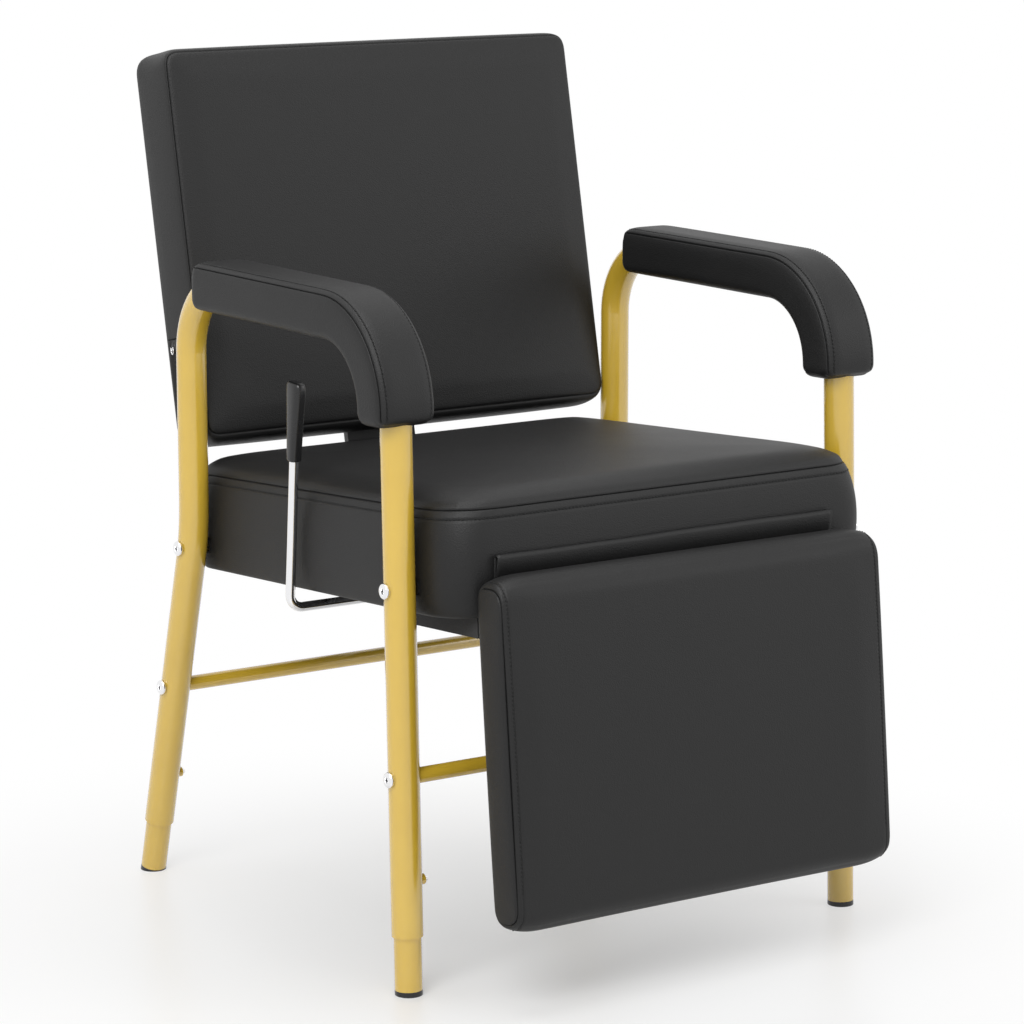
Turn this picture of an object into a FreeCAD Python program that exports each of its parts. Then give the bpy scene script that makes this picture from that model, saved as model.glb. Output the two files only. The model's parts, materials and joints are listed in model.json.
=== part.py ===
import FreeCAD, Part
import os
from math import sin, cos, tan, radians, degrees

# A salon shampoo chair: two bent tube side frames with height-adjusting legs, an upholstered seat,
# a back that reclines on a central bracket, a legrest that rises with it through a locking rod under
# the seat, and a hand lever that releases the lock. Millimetres. X is the sitter's left, Y the rear.

V = FreeCAD.Vector
ALONG_X = V(1, 0, 0)

# Side frames, bent from one tube each
tube_diameter = 32.0
seat_side_gap = 4.0           # tube to the side of the seat
front_foot_y = -218.0         # front foot from the middle of the chair's depth
front_rake = 1.8              # degrees from upright
post_distance = 424.0         # front foot to rear post
knee_height = 400.0
rear_rake = 14.9              # degrees, below the knee
arm_height = 671.5            # centre of the arm run
front_bend = 92.0
rear_bend = 78.0
knee_bend = 250.0
sleeve_lift = 60.0            # lower end of the bent tube above the floor

# Telescoping leg ends
extension_diameter = 28.0
extension_wall = 1.5
extension_reach = 105.0       # length inside the bent tube
slide_clearance = 0.05
cap_height = 5.0
cap_plug = 14.0
lock_screw_height = 115.0
lock_boss_diameter = 11.0
lock_boss_height = 4.0
lock_screw_diameter = 6.0
lock_head_diameter = 9.0
lock_head_height = 4.0

# Crossbars and frame bolts
crossbar_diameter = 16.0
crossbar_height = 221.0
bolt_diameter = 8.0
bolt_reach = 34.0             # bolt length past the tube's inner side
bolt_head_diameter = 16.0
bolt_head_height = 4.5
hole_clearance = 0.2
front_seat_bolt_height = 410.0
rear_seat_bolt_height = 382.0
spacer_diameter = 17.0

# Arm pads
arm_pad_width = 62.0
arm_pad_over = 26.0           # from tube centre to the crown
arm_pad_under = 24.5
arm_pad_crown = 4.0
arm_pad_corner = 6.0
arm_pad_reach = 366.0         # rear end behind the front foot
arm_pad_front_z = 572.5       # height of the front end
pad_clearance = 0.3

# Seat, in its own tilted frame: u runs back along the seat's underside, n stands square to it
seat_tilt = 3.7               # degrees, front up
seat_distance = 198.2         # front foot to the seat's middle
seat_base_height = 370.4
seat_width = 510.0
seat_depth = 518.0
seat_side = 103.0             # underside to seam
seat_crown = 19.0
seat_corner = 50.0            # front corners
seat_rear_corner = 20.0
seat_draw_in = 3.0
foam_wall = 12.0
rail_height = 54.0
rail_thickness = 45.0
deck_thickness = 12.0
base_thickness = 12.0
base_side_inset = 42.0
base_end_inset = 36.0
corner_block_side_inset = 35.0
corner_block_front_inset = 19.0
corner_block_width = 36.0
corner_block_length = 150.0
corner_block_depth = 22.0    # below the seat's underside
base_screw_diameter = 4.0
base_screw_head = 9.0
base_screw_length = 30.0
base_screw_rows = (0.36, 0.85)  # shares of the board's length

# Back, leaning on its bracket
back_lean = 11.6              # degrees
back_width = 514.0
back_length = 420.0
back_side = 66.0              # rear face to seam
back_crown = 8.0
back_corner = 16.0
back_draw_in = 3.0
back_bevel = 10.0             # rear edges
back_board_inset = 26.0
board_thickness = 12.0
back_pivot_drop = 54.5        # pivot below the back's lower edge
back_pivot_set = 14.7         # pivot behind the back's rear face
back_pivot_behind = 30.7      # pivot behind the seat's rear face
back_pivot_rise = 72.4        # pivot above the seat's underside
bracket_width = 88.0
bracket_thickness = 8.0
bracket_reach = 172.0         # up the back
barrel_radius = 11.0
pivot_pin_radius = 6.0
running_clearance = 0.05
ear_thickness = 6.0
ear_wall = 8.0                # round the pivot pin
ear_foot_length = 90.0        # length fixed under the seat
ear_clearance = 0.5
pin_head_height = 3.0
back_bolt_spacing_x = 56.0
back_bolt_low = 58.0
back_bolt_high = 142.0
zip_rise = 105.0              # slider above the back's lower edge
zip_length = 14.0
zip_breadth = 7.0
zip_thickness = 2.5

# Legrest, hung on two hinge ears in front of the seat
legrest_lean = 5.5            # degrees, lower edge forward
legrest_width = 468.0
legrest_length = 350.0
legrest_thickness = 41.0
legrest_crown = 5.0
legrest_round = 20.0          # wrapped front edges
hinge_round = 13.5            # rear top edge, round about the hinge
legrest_gap = 5.0             # seat front to legrest
legrest_rise = 30.0           # hinge above the seat's underside
legrest_board_inset = 22.0
hinge_inset = 84.0            # hinge ear from the side of the legrest
hinge_pin_radius = 4.0
hinge_hub_radius = 9.0
cheek_thickness = 3.0
notch_play = 1.5
hook_foot_length = 60.0       # length fixed under the seat
hook_play = 6.0               # hook's corner to the notch below it
strap_length = 55.0

# Recline linkage and rod lock
recline_angle = 36.0          # degrees the back swings down
legrest_angle = 63.0          # degrees the legrest swings up
rod_drop = 28.0               # rod axis below the seat's underside
rod_radius = 5.0
back_crank_lean = 28.0        # degrees behind the seat's normal, at rest
legrest_crank_lean = 30.0
crank_pin_radius = 4.0
crank_eye_radius = 9.0
crank_gap = 10.6              # between crank cheeks
tongue_thickness = 10.0
pin_play = 1.4
housing_radius = 13.5
housing_wall = 2.5
housing_length = 125.0
housing_start = 2.0           # along the seat
bush_length = 12.0
saddle_length = 20.0
saddle_foot_width = 34.0
strap_thickness = 3.0
tab_width = 8.0
tab_arm = 38.0

# Release lever
lever_u = 39.6
lever_drop = 19.0
lever_radius = 5.0
lever_side_gap = 13.0         # upright part from the side of the seat
lever_bend = 15.0
lever_lean = 4.2              # degrees forward
lever_inner_end = 27.0
lever_top_drop = 111.5        # upper end of the rod below the arm run
grip_low_drop = 166.5
grip_top_drop = 83.5
grip_neck = 15.0
grip_depth = 28.0
grip_breadth = 16.0
finger_length = 25.0
finger_thickness = 8.0
finger_width = 5.0
collar_radius = 6.5
collar_length = 9.0
bearing_length = 14.0
outer_bearing = 150.0
inner_bearing = 62.0

# Vinyl flap folded over the gap between seat and legrest
flap_width = 418.0
flap_height = 20.0
flap_sheet = 1.6
flap_bulge = 7.0
flap_lap = 2.0                # lower edge below the top of the legrest


def rounded_path(points, radii):
    """Straight runs joined by tangent arcs."""
    edges = []
    start = points[0]
    for before, corner, after, radius in zip(points, points[1:], points[2:], radii):
        arrive = (corner - before).normalize()
        leave = (after - corner).normalize()
        half_turn = arrive.getAngle(leave) / 2
        first = corner - arrive * (radius * tan(half_turn))
        last = corner + leave * (radius * tan(half_turn))
        inward = (leave - arrive).normalize()
        middle = corner + inward * (radius / cos(half_turn) - radius)
        edges.append(Part.makeLine(start, first))
        edges.append(Part.Arc(first, middle, last).toShape())
        start = last
    edges.append(Part.makeLine(start, points[-1]))
    return Part.Wire(edges)


def swept(profile, path):
    """A flat face carried along a path of runs and arcs, one extrusion or turn for each."""
    pieces = []
    for edge in path.Edges:
        start = edge.valueAt(edge.FirstParameter)
        end = edge.valueAt(edge.LastParameter)
        if isinstance(edge.Curve, Part.Line):
            step = FreeCAD.Placement(end - start, FreeCAD.Rotation())
            pieces.append(profile.extrude(end - start))
        else:
            angle = degrees(edge.LastParameter - edge.FirstParameter)
            turn = FreeCAD.Rotation(edge.Curve.Axis, angle)
            centre = edge.Curve.Center
            step = FreeCAD.Placement(centre - turn.multVec(centre), turn)
            pieces.append(profile.revolve(centre, edge.Curve.Axis, angle))
        profile = placed(profile, step)
    return fuse_all(pieces)


def round_bar(points, radii, radius, bore=0):
    """A round bar or tube along a path of runs and arcs."""
    ring = Part.Face(Part.Wire(Part.makeCircle(radius, points[0], points[1] - points[0])))
    if bore:
        ring = ring.cut(Part.Face(Part.Wire(Part.makeCircle(bore, points[0], points[1] - points[0]))))
        ring = ring.Faces[0]
    return swept(ring, rounded_path(points, radii))


def bar_x(x_from, x_to, radius, y, z):
    return Part.makeCylinder(radius, abs(x_to - x_from), V(min(x_from, x_to), y, z), ALONG_X)


def bar_y(y_from, y_to, radius, x, z):
    return Part.makeCylinder(radius, y_to - y_from, V(x, y_from, z), V(0, 1, 0))


def block(x_from, x_to, y_from, y_to, z_from, z_to):
    return Part.makeBox(x_to - x_from, y_to - y_from, z_to - z_from, V(x_from, y_from, z_from))


def plate_x(x_from, x_to, outline):
    """A flat plate square to X, from corner points (y, z)."""
    corners = [V(x_from, y, z) for y, z in outline]
    face = Part.Face(Part.makePolygon(corners + corners[:1]))
    return face.extrude(V(x_to - x_from, 0, 0))


def link_x(x_from, x_to, start, start_radius, end, end_radius):
    """A flat link square to X with round ends and straight tangent sides."""
    a = V(x_from, *start)
    b = V(x_from, *end)
    along = (b - a).normalize()
    across = V(0, -along.z, along.y)
    lean = (start_radius - end_radius) / a.distanceToPoint(b)
    rise = (1 - lean * lean) ** 0.5
    a_left, a_right = (a + (along * lean + across * (side * rise)) * start_radius for side in (1, -1))
    b_left, b_right = (b + (along * lean + across * (side * rise)) * end_radius for side in (1, -1))
    outline = Part.Wire([
        Part.Arc(a_left, a - along * start_radius, a_right).toShape(),
        Part.makeLine(a_right, b_right),
        Part.Arc(b_right, b + along * end_radius, b_left).toShape(),
        Part.makeLine(b_left, a_left),
    ])
    return Part.Face(outline).extrude(V(x_to - x_from, 0, 0))


def mirrored(shape):
    return shape.mirror(V(0, 0, 0), ALONG_X)


def both_sides(shape):
    return [shape, mirrored(shape)]


def placed(shape, placement):
    copy = shape.copy()
    copy.Placement = placement.multiply(copy.Placement)
    return copy


def cut_all(shape, tools):
    for tool in tools:
        shape = shape.cut(tool)
    return shape


def fuse_all(shapes):
    whole = shapes[0]
    for shape in shapes[1:]:
        whole = whole.fuse(shape)
    return whole.removeSplitter()


def plan_outline(width, length, near_corner, far_corner, draw_in):
    """A cushion's plan: round corners, with every side drawn in a little between them."""
    half = width / 2
    ends = []
    for side_x, side_y, corner in ((1, 0, near_corner), (1, 1, far_corner),
                                   (-1, 1, far_corner), (-1, 0, near_corner)):
        bevel = corner * (1 - cos(radians(45)))
        y_end = side_y * length
        inward = 1 - 2 * side_y
        along_end = V(side_x * (half - corner), y_end, 0)
        tip = V(side_x * (half - bevel), y_end + inward * bevel, 0)
        along_side = V(side_x * half, y_end + inward * corner, 0)
        first, last = (along_end, along_side) if side_x * inward > 0 else (along_side, along_end)
        ends.append((first, tip, last))
    middles = [V(half - draw_in, length / 2, 0), V(0, length - draw_in, 0),
               V(-half + draw_in, length / 2, 0), V(0, draw_in, 0)]
    edges = []
    for index, (first, tip, last) in enumerate(ends):
        edges.append(Part.Arc(first, tip, last).toShape())
        following = ends[(index + 1) % 4][0]
        edges.append(Part.Arc(last, middles[index], following).toShape())
    return Part.Wire(edges)


def boxed_cushion(width, length, side, crown, near_corner, far_corner, draw_in, bevel=0):
    """A cushion lying on XY: flat below, a seam round its side height, a puffed crown above."""
    over = crown / 8
    half = width / 2 + over
    roll = 0.1 * width

    def section(y, rise):
        shoulder = side + 0.72 * rise
        low_left, low_right = V(-half, y, 0), V(half, y, 0)
        seam_left, seam_right = V(-half, y, side), V(half, y, side)
        roll_left, roll_right = V(roll - half, y, shoulder), V(half - roll, y, shoulder)
        bulge = side + 0.5 * rise
        return Part.Wire([
            Part.makeLine(low_left, low_right),
            Part.makeLine(low_right, seam_right),
            Part.Arc(seam_right, V(half - 0.35 * roll, y, bulge), roll_right).toShape(),
            Part.Arc(roll_right, V(0, y, side + rise), roll_left).toShape(),
            Part.Arc(roll_left, V(0.35 * roll - half, y, bulge), seam_left).toShape(),
            Part.makeLine(seam_left, low_left),
        ])

    stations = [(-over, 0.12), (roll, 0.8), (length / 2, 1), (length - roll, 0.8), (length + over, 0.12)]
    puffed = Part.makeLoft([section(y, share * crown) for y, share in stations], True, False)
    plan = plan_outline(width, length, near_corner, far_corner, draw_in).translated(V(0, 0, bevel))
    envelope = Part.Face(plan).extrude(V(0, 0, side + 2 * crown))
    if bevel:
        underside = plan_outline(width - 2 * bevel, length - 2 * bevel,
                                 near_corner - bevel / 2, far_corner - bevel / 2, draw_in)
        underside.translate(V(0, bevel, 0))
        envelope = envelope.fuse(Part.makeLoft([underside, plan], True, True))
    return puffed.common(envelope).removeSplitter()


# Lines of the legs
def front_leg_y(z):
    return front_foot_y + z * tan(radians(front_rake))


post_y = front_foot_y + post_distance


def rear_leg_y(z):
    return post_y + (knee_height - z) * tan(radians(rear_rake))


tube_radius = tube_diameter / 2
leg_x = seat_width / 2 + seat_side_gap + tube_radius
extension_radius = extension_diameter / 2
bore_radius = extension_radius + slide_clearance
bolt_radius = bolt_diameter / 2
crossbar_radius = crossbar_diameter / 2
front_crossbar_y = front_leg_y(crossbar_height)
rear_crossbar_y = rear_leg_y(crossbar_height)

leg_lines = {
    "front": (V(0, front_leg_y(0), 0), V(0, sin(radians(front_rake)), cos(radians(front_rake)))),
    "rear": (V(0, rear_leg_y(0), 0), V(0, -sin(radians(rear_rake)), cos(radians(rear_rake)))),
}
crossbar_points = [(front_crossbar_y, crossbar_height), (rear_crossbar_y, crossbar_height)]
seat_bolt_points = [
    (front_leg_y(front_seat_bolt_height), front_seat_bolt_height),
    (rear_leg_y(rear_seat_bolt_height), rear_seat_bolt_height),
]
lock_points = [(front_leg_y(lock_screw_height), lock_screw_height),
               (rear_leg_y(lock_screw_height), lock_screw_height)]

# Tilted frame of the seat and the places in it of the two pivots and crank pins, as (u, n)
seat_middle = V(0, front_foot_y + seat_distance, seat_base_height)
seat_frame = FreeCAD.Placement(seat_middle, FreeCAD.Rotation(ALONG_X, -seat_tilt))
seat_front = -seat_depth / 2
seat_rear = seat_depth / 2
back_pivot = (seat_rear + back_pivot_behind, back_pivot_rise)
legrest_pivot = (seat_front - legrest_gap - hinge_round, legrest_rise)
back_crank = (back_pivot_rise + rod_drop) / cos(radians(back_crank_lean))
legrest_crank = (legrest_rise + rod_drop) / cos(radians(legrest_crank_lean))
back_pin = (back_pivot[0] + back_crank * sin(radians(back_crank_lean)), -rod_drop)
legrest_pin = (legrest_pivot[0] + legrest_crank * sin(radians(legrest_crank_lean)), -rod_drop)

# Frames of the back and the legrest: origin at the middle of the lower edge of the rear face,
# Y up the panel and Z out of its front
back_turn = FreeCAD.Rotation(ALONG_X, 90 - back_lean)
back_pivot_place = seat_frame.multVec(V(0, *back_pivot))
back_frame = FreeCAD.Placement(
    back_pivot_place - back_turn.multVec(V(0, -back_pivot_drop, -back_pivot_set)), back_turn)
legrest_turn = FreeCAD.Rotation(ALONG_X, 90 - legrest_lean)
legrest_pivot_place = seat_frame.multVec(V(0, *legrest_pivot))
hinge_y = legrest_length - hinge_round
hinge_offset = legrest_width / 2 - hinge_inset
legrest_frame = FreeCAD.Placement(
    legrest_pivot_place - legrest_turn.multVec(V(0, hinge_y, hinge_round)), legrest_turn)


def on_seat(shape):
    return placed(shape, seat_frame)


def on_back(shape):
    return placed(shape, back_frame)


def on_legrest(shape):
    return placed(shape, legrest_frame)


nodes = {}


# Bent side tubes, drilled for their bolts, with a threaded boss for each leg clamp
def tube_points():
    front_foot, front_up = leg_lines["front"]
    rear_foot, rear_up = leg_lines["rear"]
    front_end = front_foot + front_up * (sleeve_lift / front_up.z)
    rear_end = rear_foot + rear_up * (sleeve_lift / rear_up.z)
    return [front_end, V(0, front_leg_y(arm_height), arm_height), V(0, post_y, arm_height),
            V(0, post_y, knee_height), rear_end]


tube_bends = [front_bend, rear_bend, knee_bend]
tube_solid = round_bar(tube_points(), tube_bends, tube_radius)
side_frame = round_bar(tube_points(), tube_bends, tube_radius, bore_radius)
for y, z in lock_points:
    boss = bar_x(-tube_radius - lock_boss_height, 0, lock_boss_diameter / 2, y, z)
    side_frame = side_frame.fuse(boss.cut(tube_solid))
for y, z in crossbar_points + seat_bolt_points:
    drilled = bar_x(-2 * tube_radius, 2 * tube_radius, bolt_radius + hole_clearance, y, z)
    side_frame = side_frame.cut(drilled)
for y, z in lock_points:
    tapped = bar_x(-2 * tube_radius, 0, lock_screw_diameter / 2 + hole_clearance, y, z)
    side_frame = side_frame.cut(tapped)
side_frame.translate(V(leg_x, 0, 0))
nodes["side_frame_left"] = side_frame
nodes["side_frame_right"] = mirrored(side_frame)
tube_envelope = [tube_solid.translated(V(side * leg_x, 0, 0)) for side in (1, -1)]

# Telescoping leg ends with level foot caps
floor_cut = block(-2 * leg_x, 2 * leg_x, -3 * post_distance, 3 * post_distance, -4 * cap_height, 0)
for end, (foot, up) in leg_lines.items():
    top = (sleeve_lift + extension_reach) / up.z
    low = cap_height / up.z
    tube = Part.makeCylinder(extension_radius, top - low, foot + up * low, up)
    tube = tube.cut(Part.makeCylinder(extension_radius - extension_wall, top, foot, up))
    skirt = Part.makeCylinder(extension_radius, low + 2 * cap_height, foot - up * (2 * cap_height), up)
    plug = Part.makeCylinder(extension_radius - extension_wall, low + cap_plug, foot, up)
    cap = skirt.cut(floor_cut).fuse(plug.cut(floor_cut)).removeSplitter()
    for name, side in (("left", 1), ("right", -1)):
        nodes["leg_extension_%s_%s" % (end, name)] = tube.translated(V(side * leg_x, 0, 0))
        nodes["foot_cap_%s_%s" % (end, name)] = cap.translated(V(side * leg_x, 0, 0))


# Leg clamp screws, pressed against the sliding tubes
def lock_screw(y, z):
    tip = leg_x - extension_radius - pad_clearance
    seat = leg_x - tube_radius - lock_boss_height
    shank = bar_x(seat, tip, lock_screw_diameter / 2, y, z)
    radius = lock_head_diameter / 2
    head = Part.makeCone(0.55 * radius, radius, lock_head_height, V(seat - lock_head_height, y, z), ALONG_X)
    return head.fuse(shank)


nodes["leg_clamp_screws"] = Part.makeCompound(
    [solid for y, z in lock_points for solid in both_sides(lock_screw(y, z))])


# Crossbars with coped ends, and the bolts that hold them and the seat
def frame_bolt(y, z, tip_x):
    seat = leg_x + tube_radius
    shank = bar_x(tip_x, seat, bolt_radius, y, z)
    radius = bolt_head_diameter / 2
    head = Part.makeCone(radius, 0.7 * radius, bolt_head_height, V(seat, y, z), ALONG_X)
    return head.fuse(shank)


def crossbar(y):
    bar = bar_x(-leg_x, leg_x, crossbar_radius, y, crossbar_height)
    bar = cut_all(bar, tube_envelope)
    tip = leg_x - tube_radius - bolt_reach
    sockets = both_sides(bar_x(tip, leg_x, bolt_radius + hole_clearance, y, crossbar_height))
    return cut_all(bar, sockets)


nodes["front_crossbar"] = crossbar(front_crossbar_y)
nodes["rear_crossbar"] = crossbar(rear_crossbar_y)
bolt_tip = leg_x - tube_radius - bolt_reach
nodes["crossbar_bolts"] = Part.makeCompound(
    [solid for y, z in crossbar_points for solid in both_sides(frame_bolt(y, z, bolt_tip))])
nodes["seat_bolts"] = Part.makeCompound(
    [solid for y, z in seat_bolt_points for solid in both_sides(frame_bolt(y, z, bolt_tip))])
bolt_ways = [bar_x(bolt_tip, leg_x, bolt_radius + hole_clearance, y, z) for y, z in seat_bolt_points]
bolt_ways += [mirrored(way) for way in bolt_ways]


# Arm pads, wrapped round the arm run and the front bend
def arm_pad():
    front_foot, front_up = leg_lines["front"]
    low_end = front_foot + front_up * (arm_pad_front_z / front_up.z)
    y = front_foot_y + arm_pad_reach
    path = rounded_path([V(0, y, arm_height), V(0, front_leg_y(arm_height), arm_height), low_end],
                        [front_bend])
    half = arm_pad_width / 2
    low = arm_height - arm_pad_under
    seam = arm_height + arm_pad_over - arm_pad_crown
    corner = arm_pad_corner
    bevel = corner * (1 - cos(radians(45)))
    profile = Part.Wire([
        Part.makeLine(V(corner - half, y, low), V(half - corner, y, low)),
        Part.Arc(V(half - corner, y, low), V(half - bevel, y, low + bevel),
                 V(half, y, low + corner)).toShape(),
        Part.makeLine(V(half, y, low + corner), V(half, y, seam)),
        Part.Arc(V(half, y, seam), V(0, y, seam + arm_pad_crown), V(-half, y, seam)).toShape(),
        Part.makeLine(V(-half, y, seam), V(-half, y, low + corner)),
        Part.Arc(V(-half, y, low + corner), V(bevel - half, y, low + bevel),
                 V(corner - half, y, low)).toShape(),
    ])
    tunnel = round_bar(tube_points(), tube_bends, tube_radius + pad_clearance)
    return swept(Part.Face(profile), path).cut(tunnel).translated(V(leg_x, 0, 0))


nodes["arm_pad_left"] = arm_pad()
nodes["arm_pad_right"] = mirrored(nodes["arm_pad_left"])

# Seat: a timber box inside the cushion, closed below by the base board
box_half = seat_width / 2 - foam_wall
box_front = seat_front + foam_wall
box_rear = seat_rear - foam_wall
box_top = rail_height + deck_thickness
timber = block(-box_half, box_half, box_front, box_rear, 0, box_top)
front_edges = [edge for edge in timber.Edges
               if edge.BoundBox.ZLength > box_top - 0.01 and edge.BoundBox.YMax < seat_front + seat_depth / 2]
timber = timber.makeFillet(seat_corner - foam_wall, front_edges)
hollow = block(rail_thickness - box_half, box_half - rail_thickness,
               box_front + rail_thickness, box_rear - rail_thickness, 0, rail_height)
cushion = boxed_cushion(seat_width, seat_depth, seat_side, seat_crown, seat_corner, seat_rear_corner,
                        seat_draw_in)
cushion.translate(V(0, seat_front, 0))
seat_cushion = on_seat(cushion.cut(timber))
base_half = seat_width / 2 - base_side_inset
base_front = seat_front + base_end_inset
base_rear = seat_rear - base_end_inset
base_board = block(-base_half, base_half, base_front, base_rear, -base_thickness, 0)
upright_edges = [edge for edge in base_board.Edges if edge.BoundBox.ZLength > base_thickness - 0.01]
base_board = base_board.makeFillet(base_end_inset / 2, upright_edges)

screw_x = (base_half + box_half - rail_thickness) / 2
screw_rows = [base_front + (base_rear - base_front) * share for share in base_screw_rows]
base_screws = []
base_holes = []
for u in screw_rows:
    for x in (screw_x, -screw_x):
        shank = Part.makeCylinder(base_screw_diameter / 2, base_screw_length, V(x, u, -base_thickness))
        head = Part.makeCone(base_screw_diameter / 2, base_screw_head / 2, base_screw_head / 4,
                             V(x, u, -base_thickness - base_screw_head / 4))
        base_screws.append(head.fuse(shank))
        base_holes.append(shank)
seat_box = cut_all(timber.cut(hollow), base_holes)
nodes["seat_box"] = cut_all(on_seat(seat_box), bolt_ways)
nodes["seat_base_board"] = on_seat(cut_all(base_board, base_holes))
nodes["base_board_screws"] = on_seat(Part.makeCompound(base_screws))
nodes["seat_cushion"] = cut_all(seat_cushion, bolt_ways)

spacers = []
for y, z in seat_bolt_points:
    ring = bar_x(seat_width / 2 - 4 * seat_draw_in, leg_x - tube_radius, spacer_diameter / 2, y, z)
    ring = ring.cut(bar_x(0, leg_x, bolt_radius + hole_clearance, y, z)).cut(nodes["seat_cushion"])
    spacers += both_sides(ring.Solids[0])
nodes["seat_spacers"] = Part.makeCompound(spacers)

# Back hinge ears under the base board, rising behind the seat
ear_inner = bracket_width / 2 + ear_clearance
ear_radius = pivot_pin_radius + ear_wall
ear_knee = (back_pivot[0], -base_thickness - ear_radius)
ear_foot_u = base_rear - ear_foot_length


def back_ear():
    upright = link_x(ear_inner, ear_inner + ear_thickness, back_pivot, ear_radius, ear_knee, ear_radius)
    arm = plate_x(ear_inner, ear_inner + ear_thickness, [
        (ear_foot_u, -base_thickness), (base_rear, -base_thickness), (ear_knee[0], -base_thickness),
        (ear_knee[0], -base_thickness - 2 * ear_radius), (base_rear, -base_thickness - 2 * ear_radius),
        (ear_foot_u, -base_thickness - ear_radius)])
    foot = block(ear_inner, ear_inner + 5 * ear_thickness, ear_foot_u, base_rear,
                 -base_thickness - strap_thickness, -base_thickness)
    ear = fuse_all([upright, arm, foot])
    return ear.cut(bar_x(0, leg_x, pivot_pin_radius, *back_pivot))


ear = on_seat(back_ear())
nodes["back_hinge_ear_left"] = ear
nodes["back_hinge_ear_right"] = mirrored(ear)
pin_end = ear_inner + ear_thickness
pivot_pin = bar_x(-pin_end, pin_end, pivot_pin_radius, *back_pivot)
for side in (1, -1):
    head = bar_x(side * pin_end, side * (pin_end + pin_head_height), 1.5 * pivot_pin_radius, *back_pivot)
    pivot_pin = pivot_pin.fuse(head)
nodes["back_pivot_pin"] = on_seat(pivot_pin.removeSplitter())

# Back: cushion, rear board and the bracket with its barrel and crank
back_shell = boxed_cushion(back_width, back_length, back_side, back_crown, back_corner, back_corner,
                           back_draw_in, back_bevel)
back_board = block(back_board_inset - back_width / 2, back_width / 2 - back_board_inset,
                   back_board_inset, back_length - back_board_inset, 0, board_thickness)
back_bolt_places = [(side * back_bolt_spacing_x / 2, rise)
                    for side in (1, -1) for rise in (back_bolt_low, back_bolt_high)]
bolt_in_board = 0.9 * board_thickness


def back_bolt(x, y):
    shank = Part.makeCylinder(bolt_radius, bracket_thickness + bolt_in_board, V(x, y, -bracket_thickness))
    head = Part.makeCylinder(bolt_head_diameter / 2, bolt_head_height,
                             V(x, y, -bracket_thickness - bolt_head_height))
    return head.fuse(shank)


back_holes = [Part.makeCylinder(bolt_radius + hole_clearance, bracket_thickness + bolt_in_board,
                                V(x, y, -bracket_thickness)) for x, y in back_bolt_places]
nodes["back_cushion"] = on_back(back_shell.cut(back_board))
nodes["back_board"] = on_back(cut_all(back_board, back_holes))
nodes["back_bracket_bolts"] = on_back(Part.makeCompound([back_bolt(x, y) for x, y in back_bolt_places]))


def back_bracket():
    plate = block(-bracket_width / 2, bracket_width / 2, -back_pivot_drop, bracket_reach,
                  -bracket_thickness, 0)
    top_edges = [edge for edge in plate.Edges
                 if edge.BoundBox.YMin > bracket_reach - 0.01
                 and edge.BoundBox.ZLength > bracket_thickness - 0.01]
    plate = plate.makeFillet(bracket_width / 6, top_edges)
    plate = on_back(cut_all(plate, back_holes))
    barrel = bar_x(-bracket_width / 2, bracket_width / 2, barrel_radius, *back_pivot)
    cheeks = []
    for side in (1, -1):
        near = side * crank_gap / 2
        far = side * (crank_gap / 2 + ear_thickness)
        cheek = link_x(near, far, back_pivot, barrel_radius, back_pin, crank_eye_radius)
        cheeks.append(cheek.cut(bar_x(near, far, crank_pin_radius, *back_pin)))
    hinge = on_seat(fuse_all([barrel] + cheeks))
    bore = on_seat(bar_x(-bracket_width, bracket_width, pivot_pin_radius + running_clearance, *back_pivot))
    return fuse_all([plate, hinge]).cut(bore)


nodes["back_bracket"] = back_bracket()


def crank_pin(place):
    reach = crank_gap / 2 + ear_thickness
    pin = bar_x(-reach, reach, crank_pin_radius, *place)
    for side in (1, -1):
        head_end = side * (reach + pin_head_height)
        pin = pin.fuse(bar_x(side * reach, head_end, 1.6 * crank_pin_radius, *place))
    return on_seat(pin.removeSplitter())


nodes["back_crank_pin"] = crank_pin(back_pin)

# Zip sliders at the rear lower sides of the back cover
slider = block(back_width / 2 - 2 * back_draw_in, back_width / 2 + zip_thickness - back_draw_in / 2,
               zip_rise - zip_length, zip_rise, back_board_inset - zip_breadth, back_board_inset)
slider = slider.cut(back_shell)
nodes["zip_sliders"] = on_back(Part.makeCompound([solid for s in both_sides(slider) for solid in s.Solids]))

# Legrest hinge ears: flat hooks from under the base board up to the hinge pins
hook_half = hinge_hub_radius
hook_corner = (legrest_pivot[0], -base_thickness - hook_half)
hook_end_u = base_front + hook_foot_length
hook_foot_width = 5 * ear_thickness


def hinge_hook():
    x_from = hinge_offset - ear_thickness / 2
    x_to = hinge_offset + ear_thickness / 2
    upright = link_x(x_from, x_to, legrest_pivot, hinge_hub_radius, hook_corner, hook_half)
    arm = plate_x(x_from, x_to, [
        (hook_corner[0], hook_corner[1] + hook_half), (hook_end_u, hook_corner[1] + hook_half),
        (hook_end_u, hook_corner[1] - hook_half), (hook_corner[0], hook_corner[1] - hook_half)])
    foot = block(x_from - hook_foot_width, x_from, base_front, hook_end_u,
                 -base_thickness - strap_thickness, -base_thickness)
    hook = fuse_all([upright, arm, foot])
    return on_seat(hook.cut(bar_x(0, leg_x, hinge_pin_radius + running_clearance, *legrest_pivot)))


nodes["legrest_hook_left"] = hinge_hook()
nodes["legrest_hook_right"] = mirrored(nodes["legrest_hook_left"])

# Blocks round the front corners of the base board, outside the hooks
block_out = seat_width / 2 - corner_block_side_inset
block_front = seat_front + corner_block_front_inset
corner_block = block(block_out - corner_block_width, block_out, block_front,
                     block_front + corner_block_length, -corner_block_depth, 0).cut(base_board)
nodes["base_corner_blocks"] = on_seat(Part.makeCompound(both_sides(corner_block)))


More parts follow.
